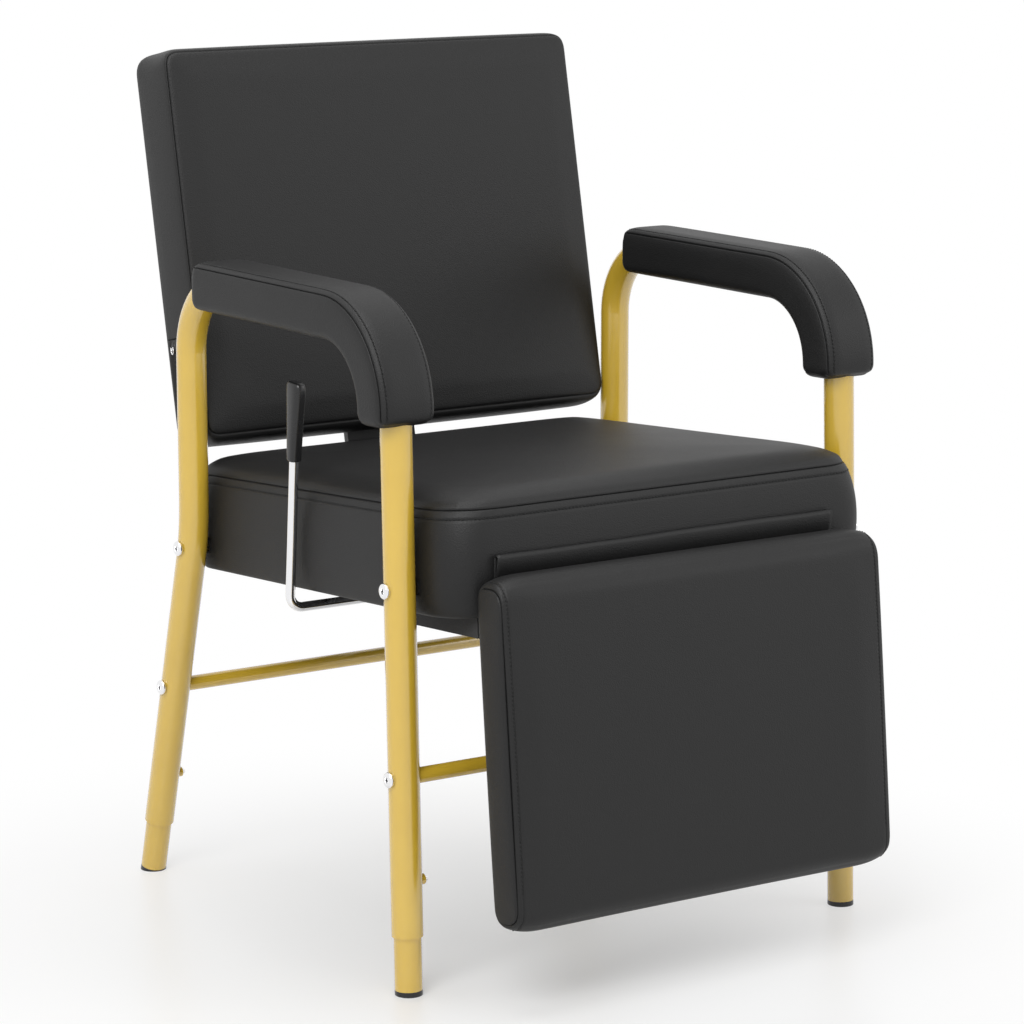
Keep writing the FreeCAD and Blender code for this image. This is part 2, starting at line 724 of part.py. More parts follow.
# Legrest: a wrapped pad, round about the hinge at its rear top edge
def legrest_pad():
    length = legrest_length
    thickness = legrest_thickness
    front = legrest_round
    small = hinge_round / 2
    diagonal = 1 - cos(radians(45))

    def section(x, crown):
        corner_points = [
            (V(x, small, 0), V(x, small * diagonal, small * diagonal), V(x, 0, small)),
            (V(x, 0, thickness - front), V(x, front * diagonal, thickness - front * diagonal),
             V(x, front, thickness)),
            (V(x, length - front, thickness), V(x, length - front * diagonal, thickness - front * diagonal),
             V(x, length, thickness - front)),
            (V(x, length, hinge_round), V(x, length - hinge_round * diagonal, hinge_round * diagonal),
             V(x, length - hinge_round, 0)),
        ]
        arcs = [Part.Arc(*points).toShape() for points in corner_points]
        face_middle = V(x, length / 2, thickness + crown)
        return Part.Wire([
            arcs[0], Part.makeLine(corner_points[0][2], corner_points[1][0]),
            arcs[1], Part.Arc(corner_points[1][2], face_middle, corner_points[2][0]).toShape(),
            arcs[2], Part.makeLine(corner_points[2][2], corner_points[3][0]),
            arcs[3], Part.makeLine(corner_points[3][2], corner_points[0][0]),
        ])

    half = legrest_width / 2
    inner = half - 2 * legrest_round
    stations = [(-half, 0.15), (-inner, 0.8), (0, 1), (inner, 0.8), (half, 0.15)]
    return Part.makeLoft([section(x, share * legrest_crown) for x, share in stations], True, False)


board_top = legrest_length - legrest_board_inset
legrest_board = block(legrest_board_inset - legrest_width / 2, legrest_width / 2 - legrest_board_inset,
                      legrest_board_inset, board_top, 0, board_thickness)
cheek_near = ear_thickness / 2 + ear_clearance
cheek_far = cheek_near + cheek_thickness
notch_half = cheek_far + notch_play
notch_low = hinge_y - legrest_rise - base_thickness - 3 * hook_half - hook_play
notch_deep = hinge_round + hinge_hub_radius + notch_play
plate_low = notch_low - strap_length
bracket_pocket_deep = board_thickness + cheek_thickness


def hinge_notch():
    return block(hinge_offset - notch_half, hinge_offset + notch_half, notch_low,
                 hinge_y + hinge_hub_radius + notch_play, 0, notch_deep)


def hinge_bracket():
    """A clevis on the front of the board, with a cheek on each side of the hook."""
    cheeks = []
    for near, far in ((cheek_near, cheek_far), (-cheek_far, -cheek_near)):
        cheek = link_x(hinge_offset + near, hinge_offset + far, (hinge_y, hinge_round), hinge_hub_radius,
                       (notch_low + hinge_hub_radius, notch_deep - notch_play - hinge_hub_radius),
                       hinge_hub_radius)
        cheeks.append(cheek.cut(bar_x(hinge_offset + near, hinge_offset + far, hinge_pin_radius,
                                      hinge_y, hinge_round)))
    strap = block(hinge_offset - cheek_far, hinge_offset + cheek_far, plate_low,
                  notch_low + hinge_hub_radius, board_thickness, bracket_pocket_deep)
    return fuse_all(cheeks + [strap])


hinge_notches = both_sides(hinge_notch())
hinge_clevis = hinge_bracket()
strap_pocket = block(hinge_offset - cheek_far, hinge_offset + cheek_far, plate_low, notch_low,
                     0, bracket_pocket_deep)
strap_pockets = both_sides(strap_pocket)
pad = legrest_pad().cut(legrest_board)
nodes["legrest_cushion"] = on_legrest(cut_all(pad, hinge_notches + strap_pockets))
nodes["legrest_board"] = on_legrest(cut_all(legrest_board, hinge_notches))
nodes["legrest_hinge_left"] = on_legrest(hinge_clevis)
nodes["legrest_hinge_right"] = mirrored(nodes["legrest_hinge_left"])
hinge_pin = bar_x(hinge_offset - cheek_far, hinge_offset + cheek_far, hinge_pin_radius,
                  hinge_y, hinge_round)
nodes["legrest_hinge_pins"] = on_legrest(Part.makeCompound(both_sides(hinge_pin)))


# Crank on the back of the legrest board, pushed by the lock rod
def legrest_crank_bracket():
    crank_foot_low = plate_low
    crank_foot_high = notch_low + 2 * hook_half
    foot_half = crank_gap / 2 + 4 * cheek_thickness
    foot = on_legrest(block(-foot_half, foot_half, crank_foot_low, crank_foot_high, -cheek_thickness, 0))
    upper = seat_frame.inverse().multVec(legrest_frame.multVec(V(0, crank_foot_high, -cheek_thickness / 2)))
    lower = seat_frame.inverse().multVec(legrest_frame.multVec(V(0, crank_foot_low, -cheek_thickness / 2)))
    cheeks = []
    for side in (1, -1):
        near = side * crank_gap / 2
        far = side * (crank_gap / 2 + ear_thickness)
        upper_arm = link_x(near, far, (upper.y, upper.z - crank_eye_radius), cheek_thickness, legrest_pin,
                           crank_eye_radius)
        lower_arm = link_x(near, far, (lower.y, lower.z), cheek_thickness, legrest_pin, crank_eye_radius)
        web = plate_x(near, far, [(upper.y, upper.z - crank_eye_radius), legrest_pin, (lower.y, lower.z)])
        cheek = fuse_all([upper_arm, lower_arm, web])
        cheeks.append(cheek.cut(bar_x(near, far, crank_pin_radius, *legrest_pin)))
    behind = on_legrest(block(-foot_half, foot_half, 0, legrest_length, 0, 3 * legrest_thickness))
    return fuse_all([foot] + [on_seat(cheek) for cheek in cheeks]).cut(behind)


nodes["legrest_crank"] = legrest_crank_bracket()
nodes["legrest_crank_pin"] = crank_pin(legrest_pin)


# Lock rod with a slotted tongue at each end, which lets the crank pins rise and fall
def tongue(place, crank, lean, turn):
    fall = crank * (1 - cos(radians(lean)))
    rise = crank * max(0, cos(radians(lean)) - cos(radians(turn - lean)))
    half = crank_eye_radius + pin_play
    u, n = place
    high = n + rise + half
    low = n - fall - half
    body = block(-tongue_thickness / 2, tongue_thickness / 2, u - half, u + half, low, high)
    slot_half = crank_pin_radius + pin_play
    slot = block(-tongue_thickness, tongue_thickness, u - slot_half, u + slot_half,
                 n - fall - slot_half, n + rise + slot_half)
    corner_edges = [edge for edge in body.Edges if edge.BoundBox.XLength > tongue_thickness - 0.01]
    return body.makeFillet(0.6 * crank_eye_radius, corner_edges).cut(slot)


front_tongue = tongue(legrest_pin, legrest_crank, legrest_crank_lean, legrest_angle)
rear_tongue = tongue(back_pin, back_crank, back_crank_lean, recline_angle)
rod_front = legrest_pin[0] + crank_eye_radius + pin_play
rod_rear = back_pin[0] - crank_eye_radius - pin_play
nodes["lock_rod"] = on_seat(bar_y(rod_front, rod_rear, rod_radius, 0, -rod_drop))
nodes["rod_tongue_front"] = on_seat(front_tongue)
nodes["rod_tongue_rear"] = on_seat(rear_tongue)

# Rod lock: a tube with a bush at each end and two clutch springs that grip the rod
housing_end = housing_start + housing_length
housing_bore = housing_radius - housing_wall
tab_u = lever_u + finger_length
housing = bar_y(housing_start, housing_end, housing_radius, 0, -rod_drop)
housing = housing.cut(bar_y(housing_start, housing_end, housing_bore, 0, -rod_drop))
window = block(-2 * housing_radius, 0, tab_u - tab_width, tab_u + tab_width,
               -rod_drop - housing_radius, -rod_drop + 0.6 * housing_bore)
nodes["lock_housing"] = on_seat(housing.cut(window))
bushes = []
for u_from in (housing_start, housing_end - bush_length):
    u_to = u_from + bush_length
    bush = bar_y(u_from, u_to, housing_bore, 0, -rod_drop)
    bushes.append(bush.cut(bar_y(u_from, u_to, rod_radius + running_clearance, 0, -rod_drop)))
nodes["lock_bushes"] = on_seat(Part.makeCompound(bushes))
springs = []
for u_from, u_to in ((housing_start + bush_length, tab_u - tab_width / 2 - pad_clearance),
                     (tab_u + tab_width / 2 + pad_clearance, housing_end - bush_length)):
    spring = bar_y(u_from, u_to, 0.8 * housing_bore, 0, -rod_drop)
    springs.append(spring.cut(bar_y(u_from, u_to, rod_radius + running_clearance, 0, -rod_drop)))
nodes["clutch_springs"] = on_seat(Part.makeCompound(springs))


def lock_saddle(u_from):
    u_to = u_from + saddle_length
    strap_radius = housing_radius + strap_thickness
    ring = bar_y(u_from, u_to, strap_radius, 0, -rod_drop)
    side_walls = block(-strap_radius, strap_radius, u_from, u_to, -rod_drop, -base_thickness)
    feet = block(-saddle_foot_width, saddle_foot_width, u_from, u_to,
                 -base_thickness - strap_thickness, -base_thickness)
    saddle = fuse_all([ring, side_walls, feet])
    saddle = saddle.cut(bar_y(u_from, u_to, housing_radius, 0, -rod_drop))
    above = block(-saddle_foot_width, saddle_foot_width, u_from, u_to, -base_thickness, housing_radius)
    return saddle.cut(above)


nodes["lock_saddles"] = on_seat(Part.makeCompound(
    [lock_saddle(housing_start), lock_saddle(housing_end - saddle_length)]))

# Release tab on the rod, under the lever's finger
finger_underside = -lever_drop - finger_thickness / 2
tab_top = finger_underside - pad_clearance
tab_ring = bar_y(tab_u - tab_width / 2, tab_u + tab_width / 2, 0.9 * housing_bore, 0, -rod_drop)
tab_bar = block(-tab_arm, 0, tab_u - tab_width / 2, tab_u + tab_width / 2, tab_top - tab_width, tab_top)
tab = fuse_all([tab_ring, tab_bar])
rod_way = bar_y(tab_u - tab_width, tab_u + tab_width, rod_radius + running_clearance, 0, -rod_drop)
nodes["release_tab"] = on_seat(tab.cut(rod_way))

# Release lever: a cranked rod in two bearings, with its finger and its grip
lever_place = seat_frame.multVec(V(0, lever_u, -lever_drop))
lever_side = seat_width / 2 + lever_side_gap


def lever_point(z):
    return V(-lever_side, lever_place.y - (z - lever_place.z) * tan(radians(lever_lean)), z)


lever_points = [V(-lever_inner_end, lever_place.y, lever_place.z),
                V(-lever_side, lever_place.y, lever_place.z), lever_point(arm_height - lever_top_drop)]
lever_rod = round_bar(lever_points, [lever_bend], lever_radius)
nodes["lever_rod"] = lever_rod


def grip_section(z, depth, breadth):
    """A flattened round: two straight flanks joined by arcs front and rear."""
    centre = lever_point(z)
    flat = depth / 4
    points = [centre + V(-breadth / 2, -flat, 0), centre + V(-breadth / 2, flat, 0),
              centre + V(0, depth / 2, 0), centre + V(breadth / 2, flat, 0),
              centre + V(breadth / 2, -flat, 0), centre + V(0, -depth / 2, 0)]
    return Part.Wire([
        Part.makeLine(points[0], points[1]), Part.Arc(points[1], points[2], points[3]).toShape(),
        Part.makeLine(points[3], points[4]), Part.Arc(points[4], points[5], points[0]).toShape()])


grip_low = arm_height - grip_low_drop
grip_top = arm_height - grip_top_drop
grip_height = grip_top - grip_low
grip = Part.makeLoft([
    grip_section(grip_low, grip_neck, grip_neck - 1),
    grip_section(grip_low + 0.45 * grip_height, 0.72 * grip_depth, grip_neck),
    grip_section(grip_top - 0.12 * grip_height, grip_depth, grip_breadth),
    grip_section(grip_top, 0.72 * grip_depth, 0.6 * grip_breadth)], True, True)
nodes["lever_grip"] = grip.cut(lever_rod)
finger_x = lever_inner_end + collar_radius
collar = bar_x(-lever_inner_end - collar_length, -lever_inner_end, collar_radius, lever_u, -lever_drop)
finger = link_x(-finger_x - finger_width / 2, -finger_x + finger_width / 2, (lever_u, -lever_drop),
                finger_thickness / 2, (lever_u + finger_length - finger_thickness / 2, -lever_drop),
                finger_thickness / 2)
nodes["lever_finger"] = on_seat(fuse_all([collar, finger])).cut(lever_rod)


def lever_bearing(x_from):
    half = 2.2 * lever_radius
    body = block(-x_from, bearing_length - x_from, lever_u - half, lever_u + half,
                 -lever_drop - 1.7 * lever_radius, -base_thickness)
    low_edges = [edge for edge in body.Edges if edge.BoundBox.ZMax < -base_thickness - 1
                 and edge.BoundBox.XLength > bearing_length - 0.01]
    body = body.makeFillet(lever_radius, low_edges)
    bore = bar_x(-x_from, bearing_length - x_from, lever_radius + running_clearance, lever_u, -lever_drop)
    return on_seat(body.cut(bore))


nodes["lever_bearing_outer"] = lever_bearing(outer_bearing)
nodes["lever_bearing_inner"] = lever_bearing(inner_bearing)


# Flap: a vinyl sheet folded up in front of the seat
def flap_fold():
    half = flap_width / 2
    low = legrest_rise + hinge_round - flap_lap
    high = low + flap_height
    end_sag = seat_draw_in * (1 - (flap_width / (seat_width - 2 * seat_corner)) ** 2)
    rear = seat_front + end_sag - pad_clearance
    front = rear - flap_bulge

    def loop(inset):
        y_rear, y_front, z_high = rear - inset, front + inset, high - inset
        middle = (y_rear + y_front) / 2
        radius = (y_rear - y_front) / 2
        return Part.Wire([
            Part.makeLine(V(-half, y_rear, low + inset), V(-half, y_rear, z_high - radius)),
            Part.Arc(V(-half, y_rear, z_high - radius), V(-half, middle, z_high),
                     V(-half, y_front, z_high - radius)).toShape(),
            Part.makeLine(V(-half, y_front, z_high - radius), V(-half, y_front, low + inset)),
            Part.makeLine(V(-half, y_front, low + inset), V(-half, y_rear, low + inset))])

    outer = Part.Face(loop(0)).extrude(V(flap_width, 0, 0))
    inner = Part.Face(loop(flap_sheet)).extrude(V(flap_width, 0, 0))
    return on_seat(outer.cut(inner))


nodes["seat_flap"] = flap_fold()

os.makedirs("parts", exist_ok=True)
for name, shape in nodes.items():
    shape.exportStep("parts/%s.step" % name)
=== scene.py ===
import json
from math import cos, pi, radians, sin, tan

import bmesh
import bpy
import numpy as np
from mathutils import Matrix, Vector
from mathutils.kdtree import KDTree


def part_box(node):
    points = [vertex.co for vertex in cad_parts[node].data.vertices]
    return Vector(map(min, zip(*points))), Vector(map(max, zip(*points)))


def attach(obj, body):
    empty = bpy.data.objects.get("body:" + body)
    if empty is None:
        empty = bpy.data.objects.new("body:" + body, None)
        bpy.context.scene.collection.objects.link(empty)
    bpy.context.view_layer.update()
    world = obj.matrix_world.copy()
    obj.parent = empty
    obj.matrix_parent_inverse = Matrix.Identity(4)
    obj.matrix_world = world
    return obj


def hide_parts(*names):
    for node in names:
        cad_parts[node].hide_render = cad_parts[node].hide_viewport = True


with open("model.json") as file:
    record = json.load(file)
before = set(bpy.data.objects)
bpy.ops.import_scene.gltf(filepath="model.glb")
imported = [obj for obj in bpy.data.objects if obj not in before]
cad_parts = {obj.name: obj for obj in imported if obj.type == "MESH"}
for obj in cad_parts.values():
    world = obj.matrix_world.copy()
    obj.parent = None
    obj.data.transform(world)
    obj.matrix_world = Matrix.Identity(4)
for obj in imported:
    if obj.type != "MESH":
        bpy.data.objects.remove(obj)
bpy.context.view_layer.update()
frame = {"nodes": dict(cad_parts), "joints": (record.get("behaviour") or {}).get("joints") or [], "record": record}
nodes = frame["nodes"]
pivots = {joint["name"]: Vector(joint.get("pos_m", (0, 0, 0))) for joint in frame["joints"]}

# Metres throughout. X is the sitter's left, Y the rear, Z up.

# Camera, fitted to the photograph
camera_place = (-2.1771, -3.2318, 1.1829)
camera_heading = radians(-33.91)
camera_down = radians(11.02)
camera_lens = 131.35
sensor_width = 36.0

# Frames of the seat, the back and the legrest
seat_tilt = radians(3.7)
seat_place = Vector((0, -0.0198, 0.3704))
back_lean = radians(11.6)
back_pivot_in_panel = Vector((0, -0.0545, -0.0147))
legrest_lean = radians(5.5)
legrest_pivot_in_panel = Vector((0, 0.3365, 0.0135))

# Each cover lies just outside the board or frame that it wraps
cover_under = 0.0006

# Grids of the covers, fine along their edges
grid_step = 0.011
seam_cell = 0.0030
seat_fine_band = 0.040
back_fine_band = 0.030
legrest_side_band = 0.036
legrest_end_band = 0.026
pad_step = 0.006
pad_side_band = 0.016
pad_run_step = 0.008
pad_end_band = 0.024

# Points closer than a hair lie on the same grid line; tiny keeps a division from zero
hair = 1e-6
tiny = 1e-9

# Seat cushion: widest half way up its band, drawn in at the seam and below
seat_half_width = 0.2572
seat_half_depth = 0.2585
seat_side = 0.103
seat_crown = 0.0200
seat_crown_slope = 0.0054
seat_roll = 0.030
seat_seam_lift = 0.0010
seat_seam_slope = 0.0085
seat_seam_in = (0.0040, 0.0040, 0.0040)
seat_seam_reach = 0.045
seat_low_in = 0.0050
seat_low_reach = 0.035
seat_stitch_drop = 0.008

# The seat's corner radii below, half way up and at the seam
seat_corner_left = (0.050, 0.029, 0.048)
seat_corner_right = (0.058, 0.042, 0.056)
seat_corner_rear = (0.016, 0.018, 0.026)

# Back cushion, with its corner radii at the rear, half way and at the seam
back_half_width = 0.2587
back_low = -0.0038
back_high = 0.4230
back_seam_low = 0.0075
back_seam_high = 0.4178
back_seam_side_in = 0.0010
back_seam_reach = 0.030
back_side = 0.070
back_crown = 0.0065
back_roll = 0.030
back_low_in = 0.0030
back_low_reach = 0.012
back_corner_low = (0.020, 0.024, 0.015)
back_corner_high = (0.018, 0.024, 0.014)

# Zips low on both sides of the back cushion, each in a sunk strip
zip_top = 0.1150
zip_rear = 0.0110
zip_front = 0.0180
zip_depth = 0.0030
zip_lip = 0.002
zip_stop = 0.004
zip_seam_front = 0.037
coil_foot = 0.012
coil_gap = 0.0011
slider_drop = 0.0085
slider_half_length = 0.0062
slider_half_width = 0.0036
slider_clear = 0.008
slider_rings = ((-0.001, 1), (0.0016, 1), (0.0024, 0.8), (0.0026, 0.5))  # lift and share of the full size
pull_lift = 0.0004
pull_drop = 0.004
pull_half_length = 0.0032
pull_half_width = 0.0022
pull_radius = 0.00065

# Legrest
legrest_half_width = 0.233
legrest_half_length = 0.1755
legrest_middle = Vector((-0.0015, 0.1747))
legrest_cheek = 0.0042
legrest_thickness = 0.041
legrest_crown = 0.006
legrest_crown_reach = 0.2
legrest_round = 0.020
legrest_rear_round = 0.0130
legrest_end_inset = 0.010

# Notches in the legrest's rear for its two hinges
notch_low = 0.2615
notch_high = 0.347
notch_deep = 0.024
notch_play = 0.0015

# Arm pads, along the arm tube's line
arm_x = 0.2745
arm_height = 0.6715
arm_rear_y = 0.1525
arm_front_z = 0.572
arm_bend = 0.087
front_foot_y = -0.218
front_rake = radians(1.8)
pad_half_width = 0.033
pad_over = 0.0207
pad_under = 0.0238
pad_crown = 0.0060
pad_roll = 0.018
pad_low_round = 0.008
pad_plan_round = 0.011
pad_end_round = 0.010
pad_seam_in = 0.0022
pad_seam_reach = 0.4
pad_seam_stop = 0.0055

# Air in the covers: pressure, and the furthest that each cover moves
puff_pressure = 4.0
seat_puff = 0.0020
back_puff = 0.0015
legrest_puff = 0.0015
pad_puff = 0.0006

# Sewing
seam_width = 0.0019
seam_depth = 0.0024
row_width = 0.0013
row_depth = 0.0006
stitch_pitch = 0.0042
stitch_length = 0.0031
stitch_radius = 0.00036
thread_sides = 5
thread_rings = ((-0.5, 0.5, -0.9), (-0.3, 1, 0.25), (0.3, 1, 0.25), (0.5, 0.5, -0.9))  # along, size and lift

# Frame bolts; each ring of a socket or of the dark plug in it has its radius to the flats and its height
tube_side = 0.291
bolt_shank_radius = 0.004
bolt_shank = 0.066
bolt_head_radius = 0.008
bolt_rim = 0.0020
bolt_dome = 0.0024
bolt_dome_in = 0.0030
bolt_face_radius = 0.0036
bolt_face = 0.0047
socket_rings = ((0.0028, 0.0046), (0.0026, 0.0043), (0.0026, -0.0015), (0.0010, -0.0022))
# The dark plug fills the socket: partly the socket's unplated steel, partly painted shade down in the recess
shade_plug_rings = ((0.0010, -0.0014), (0.0025, -0.0014), (0.0025, 0.0034), (0.0019, 0.0029))

# Lever grip: height, half depth and half breadth of each ring
lever_x = -0.268
lever_lean = radians(4.2)
grip_low = 0.505
grip_roundness = 2.7
grip_points = 40
grip_sizes = ((0, 0.0060, 0.0058), (0.0008, 0.0070, 0.0066), (0.0025, 0.0074, 0.0069),
              (0.025, 0.0088, 0.0070), (0.050, 0.0108, 0.0071), (0.068, 0.0123, 0.0072),
              (0.075, 0.0126, 0.0072), (0.0788, 0.0123, 0.0070), (0.0812, 0.0113, 0.0063),
              (0.0825, 0.0095, 0.0050), (0.0830, 0.0070, 0.0034))

# Flap in front of the seat
flap_sheet = 0.0013
flap_tuck = 0.006
flap_lap = 2.3 * flap_sheet
flap_rise = 0.0016
flap_shift = 0.002
flap_trim = 0.006
flap_waves = ((0.0003, 23, 0), (0.0002, 61, 1))  # height, waves in 2 pi metres and start
flap_wave_height = 0.02
flap_swell = 0.05
flap_swell_waves = 17

# Floor, world and lamps
floor_reach = 9
floor_white = (0.86, 0.86, 0.86, 1)
floor_roughness = 0.35
shade_middle = (-0.25, -0.20, 0)
shade_near = 0.10
shade_far = 1.00
shade_glow = 0.24
world_light = 0.50
lamp_target = (0, 0, 0.5)
lamps = (("key_light", (-2.2, -1.6, 2.8), 1.8, 65),
         ("fill_light", (2.4, -2.2, 1.8), 2.0, 18),
         ("top_light", (-0.3, -0.1, 3.0), 1.6, 25))  # name, place, size and watts


# Camera
camera_data = bpy.data.cameras.new("camera")
camera_data.lens = camera_lens
camera_data.sensor_width = sensor_width
camera = bpy.data.objects.new("camera", camera_data)
camera.location = camera_place
camera.rotation_euler = (pi / 2 - camera_down, 0, camera_heading)
bpy.context.scene.collection.objects.link(camera)
bpy.context.scene.camera = camera
bpy.context.scene.view_settings.view_transform = "Standard"


# Materials
def new_material(name, color, roughness, metallic=0.0):
    """A principled material with its constant values on the shader's own sockets."""
    made = bpy.data.materials.new(name)
    made.use_nodes = True
    shader = made.node_tree.nodes["Principled BSDF"]
    shader.inputs["Base Color"].default_value = (*color, 1)
    shader.inputs["Roughness"].default_value = roughness
    shader.inputs["Metallic"].default_value = metallic
    return made, shader


def texture(material, kind, scale, **settings):
    """A texture node in object coordinates."""
    tree = material.node_tree
    place = tree.nodes.new("ShaderNodeTexCoord")
    made = tree.nodes.new(kind)
    tree.links.new(place.outputs["Object"], made.inputs["Vector"])
    made.inputs["Scale"].default_value = scale
    for name, value in settings.items():
        if name in made.inputs:
            made.inputs[name].default_value = value
        else:
            setattr(made, name, value)
    return made


def spread(material, source, low, high):
    """A texture's 0 to 1 carried to a range of values."""
    node = material.node_tree.nodes.new("ShaderNodeMapRange")
    material.node_tree.links.new(source, node.inputs["Value"])
    node.inputs["To Min"].default_value = low
    node.inputs["To Max"].default_value = high
    return node.outputs["Result"]


def tint(material, source, low, high, start=0.3, end=0.7):
    """A texture's 0 to 1 carried to a range of colours."""
    node = material.node_tree.nodes.new("ShaderNodeValToRGB")
    material.node_tree.links.new(source, node.inputs["Fac"])
    node.color_ramp.elements[0].position = start
    node.color_ramp.elements[1].position = end
    node.color_ramp.elements[0].color = (*low, 1)
    node.color_ramp.elements[1].color = (*high, 1)
    return node.outputs["Color"]


def bump(material, shader, height, distance, strength=1.0, under=None):
    """Relief from a texture, laid over an earlier relief if one is given."""
    tree = material.node_tree
    node = tree.nodes.new("ShaderNodeBump")
    node.inputs["Distance"].default_value = distance
    node.inputs["Strength"].default_value = strength
    tree.links.new(height, node.inputs["Height"])
    if under is not None:
        tree.links.new(under, node.inputs["Normal"])
    tree.links.new(node.outputs["Normal"], shader.inputs["Normal"])
    return node.outputs["Normal"]


def gold_paint():
    """Glossy paint under a clear coat, with a slight orange peel."""
    made, shader = new_material("gold_paint", (0.68, 0.440, 0.034), 0.24)
    links = made.node_tree.links
    cloud = texture(made, "ShaderNodeTexNoise", 18, Detail=3)
    links.new(tint(made, cloud.outputs["Fac"], (0.665, 0.427, 0.031), (0.695, 0.453, 0.037)),
              shader.inputs["Base Color"])
    links.new(spread(made, cloud.outputs["Fac"], 0.22, 0.28), shader.inputs["Roughness"])
    shader.inputs["Specular IOR Level"].default_value = 1.0
    shader.inputs["Coat Weight"].default_value = 1.0
    shader.inputs["Coat Roughness"].default_value = 0.14
    peel = texture(made, "ShaderNodeTexNoise", 420, Detail=2)
    bump(made, shader, peel.outputs["Fac"], 0.00006, 0.5)
    return made


def vinyl():
    """Black upholstery vinyl with a fine grain over soft waves."""
    made, shader = new_material("black_vinyl", (0.0110, 0.0110, 0.0111), 0.46)
    links = made.node_tree.links
    shader.inputs["Specular IOR Level"].default_value = 0.32
    cloud = texture(made, "ShaderNodeTexNoise", 9, Detail=4)
    links.new(tint(made, cloud.outputs["Fac"], (0.0104, 0.0104, 0.0105), (0.0117, 0.0117, 0.0118)),
              shader.inputs["Base Color"])
    links.new(spread(made, cloud.outputs["Fac"], 0.46, 0.55), shader.inputs["Roughness"])
    wave = texture(made, "ShaderNodeTexNoise", 22, Detail=2)
    soft = bump(made, shader, wave.outputs["Fac"], 0.0010, 0.3)
    grain = texture(made, "ShaderNodeTexVoronoi", 800, feature="SMOOTH_F1", Smoothness=0.6)
    bump(made, shader, grain.outputs["Distance"], 0.0004, 0.6, soft)
    return made


def chrome():
    """Bright plating with faint patches of haze."""
    made, shader = new_material("chrome", (0.86, 0.86, 0.87), 0.06, 1.0)
    cloud = texture(made, "ShaderNodeTexNoise", 60, Detail=3)
    made.node_tree.links.new(spread(made, cloud.outputs["Fac"], 0.04, 0.09), shader.inputs["Roughness"])
    return made


def black_plastic():
    """Moulded plastic with a fine texture."""
    made, shader = new_material("black_plastic", (0.012, 0.012, 0.0125), 0.28)
    cloud = texture(made, "ShaderNodeTexNoise", 40, Detail=4)
    made.node_tree.links.new(spread(made, cloud.outputs["Fac"], 0.22, 0.34), shader.inputs["Roughness"])
    fine = texture(made, "ShaderNodeTexNoise", 1500, Detail=2)
    bump(made, shader, fine.outputs["Fac"], 0.00004, 0.4)
    return made


def black_steel():
    """Powder-coated steel."""
    made, shader = new_material("black_steel", (0.020, 0.020, 0.021), 0.42)
    cloud = texture(made, "ShaderNodeTexNoise", 30, Detail=4)
    made.node_tree.links.new(spread(made, cloud.outputs["Fac"], 0.36, 0.5), shader.inputs["Roughness"])
    powder = texture(made, "ShaderNodeTexNoise", 900, Detail=2)
    bump(made, shader, powder.outputs["Fac"], 0.00008, 0.6)
    return made


def plain_steel():
    """Bare steel with uneven sheen."""
    made, shader = new_material("plain_steel", (0.50, 0.50, 0.51), 0.34, 1.0)
    cloud = texture(made, "ShaderNodeTexNoise", 70, Detail=5)
    links = made.node_tree.links
    links.new(tint(made, cloud.outputs["Fac"], (0.44, 0.44, 0.46), (0.56, 0.56, 0.56)),
              shader.inputs["Base Color"])
    links.new(spread(made, cloud.outputs["Fac"], 0.26, 0.42), shader.inputs["Roughness"])
    return made


def timber():
    """Pale raw timber with growth rings."""
    made, shader = new_material("timber", (0.56, 0.40, 0.23), 0.6)
    rings = texture(made, "ShaderNodeTexWave", 16, Distortion=5.0, Detail=3.0)
    made.node_tree.links.new(
        tint(made, rings.outputs["Fac"], (0.50, 0.34, 0.19), (0.60, 0.44, 0.27), 0.1, 0.9),
        shader.inputs["Base Color"])
    bump(made, shader, rings.outputs["Fac"], 0.0002, 0.4)
    return made


def lined_board():
    """Board under dull black lining cloth."""
    made, shader = new_material("lined_board", (0.030, 0.030, 0.031), 0.85)
    weave = texture(made, "ShaderNodeTexVoronoi", 700)
    made.node_tree.links.new(
        tint(made, weave.outputs["Distance"], (0.022, 0.022, 0.023), (0.040, 0.040, 0.041), 0.1, 0.6),
        shader.inputs["Base Color"])
    bump(made, shader, weave.outputs["Distance"], 0.0002, 0.7)
    return made


materials = {
    "gold_paint": gold_paint(),
    "black_vinyl": vinyl(),
    "chrome": chrome(),
    "black_plastic": black_plastic(),
    "black_steel": black_steel(),
    "plain_steel": plain_steel(),
    "timber": timber(),
    "lined_board": lined_board(),
}

for subpart in frame["record"]["subparts"]:
    mesh = nodes[subpart["node"]].data
    mesh.materials.clear()
    mesh.materials.append(materials[subpart["material_slot"]])


# Meshes
def lattice(xs, ys, zs):
    """Points and quads over the faces of a box whose grid lines are xs, ys and zs."""
    index = {}
    points = []

    def at(i, j, k):
        if (i, j, k) not in index:
            index[i, j, k] = len(points)
            points.append((xs[i], ys[j], zs[k]))
        return index[i, j, k]

    end_x, end_y, end_z = len(xs) - 1, len(ys) - 1, len(zs) - 1
    quads = []
    for i in range(end_x):
        for j in range(end_y):
            quads.append((at(i, j, 0), at(i, j + 1, 0), at(i + 1, j + 1, 0), at(i + 1, j, 0)))
            quads.append((at(i, j, end_z), at(i + 1, j, end_z), at(i + 1, j + 1, end_z), at(i, j + 1, end_z)))
    for k in range(end_z):
        for i in range(end_x):
            quads.append((at(i, 0, k), at(i + 1, 0, k), at(i + 1, 0, k + 1), at(i, 0, k + 1)))
            quads.append((at(i, end_y, k), at(i, end_y, k + 1), at(i + 1, end_y, k + 1), at(i + 1, end_y, k)))
        for j in range(end_y):
            quads.append((at(0, j, k), at(0, j, k + 1), at(0, j + 1, k + 1), at(0, j + 1, k)))
            quads.append((at(end_x, j, k), at(end_x, j + 1, k), at(end_x, j + 1, k + 1), at(end_x, j, k + 1)))
    return np.array(points), quads


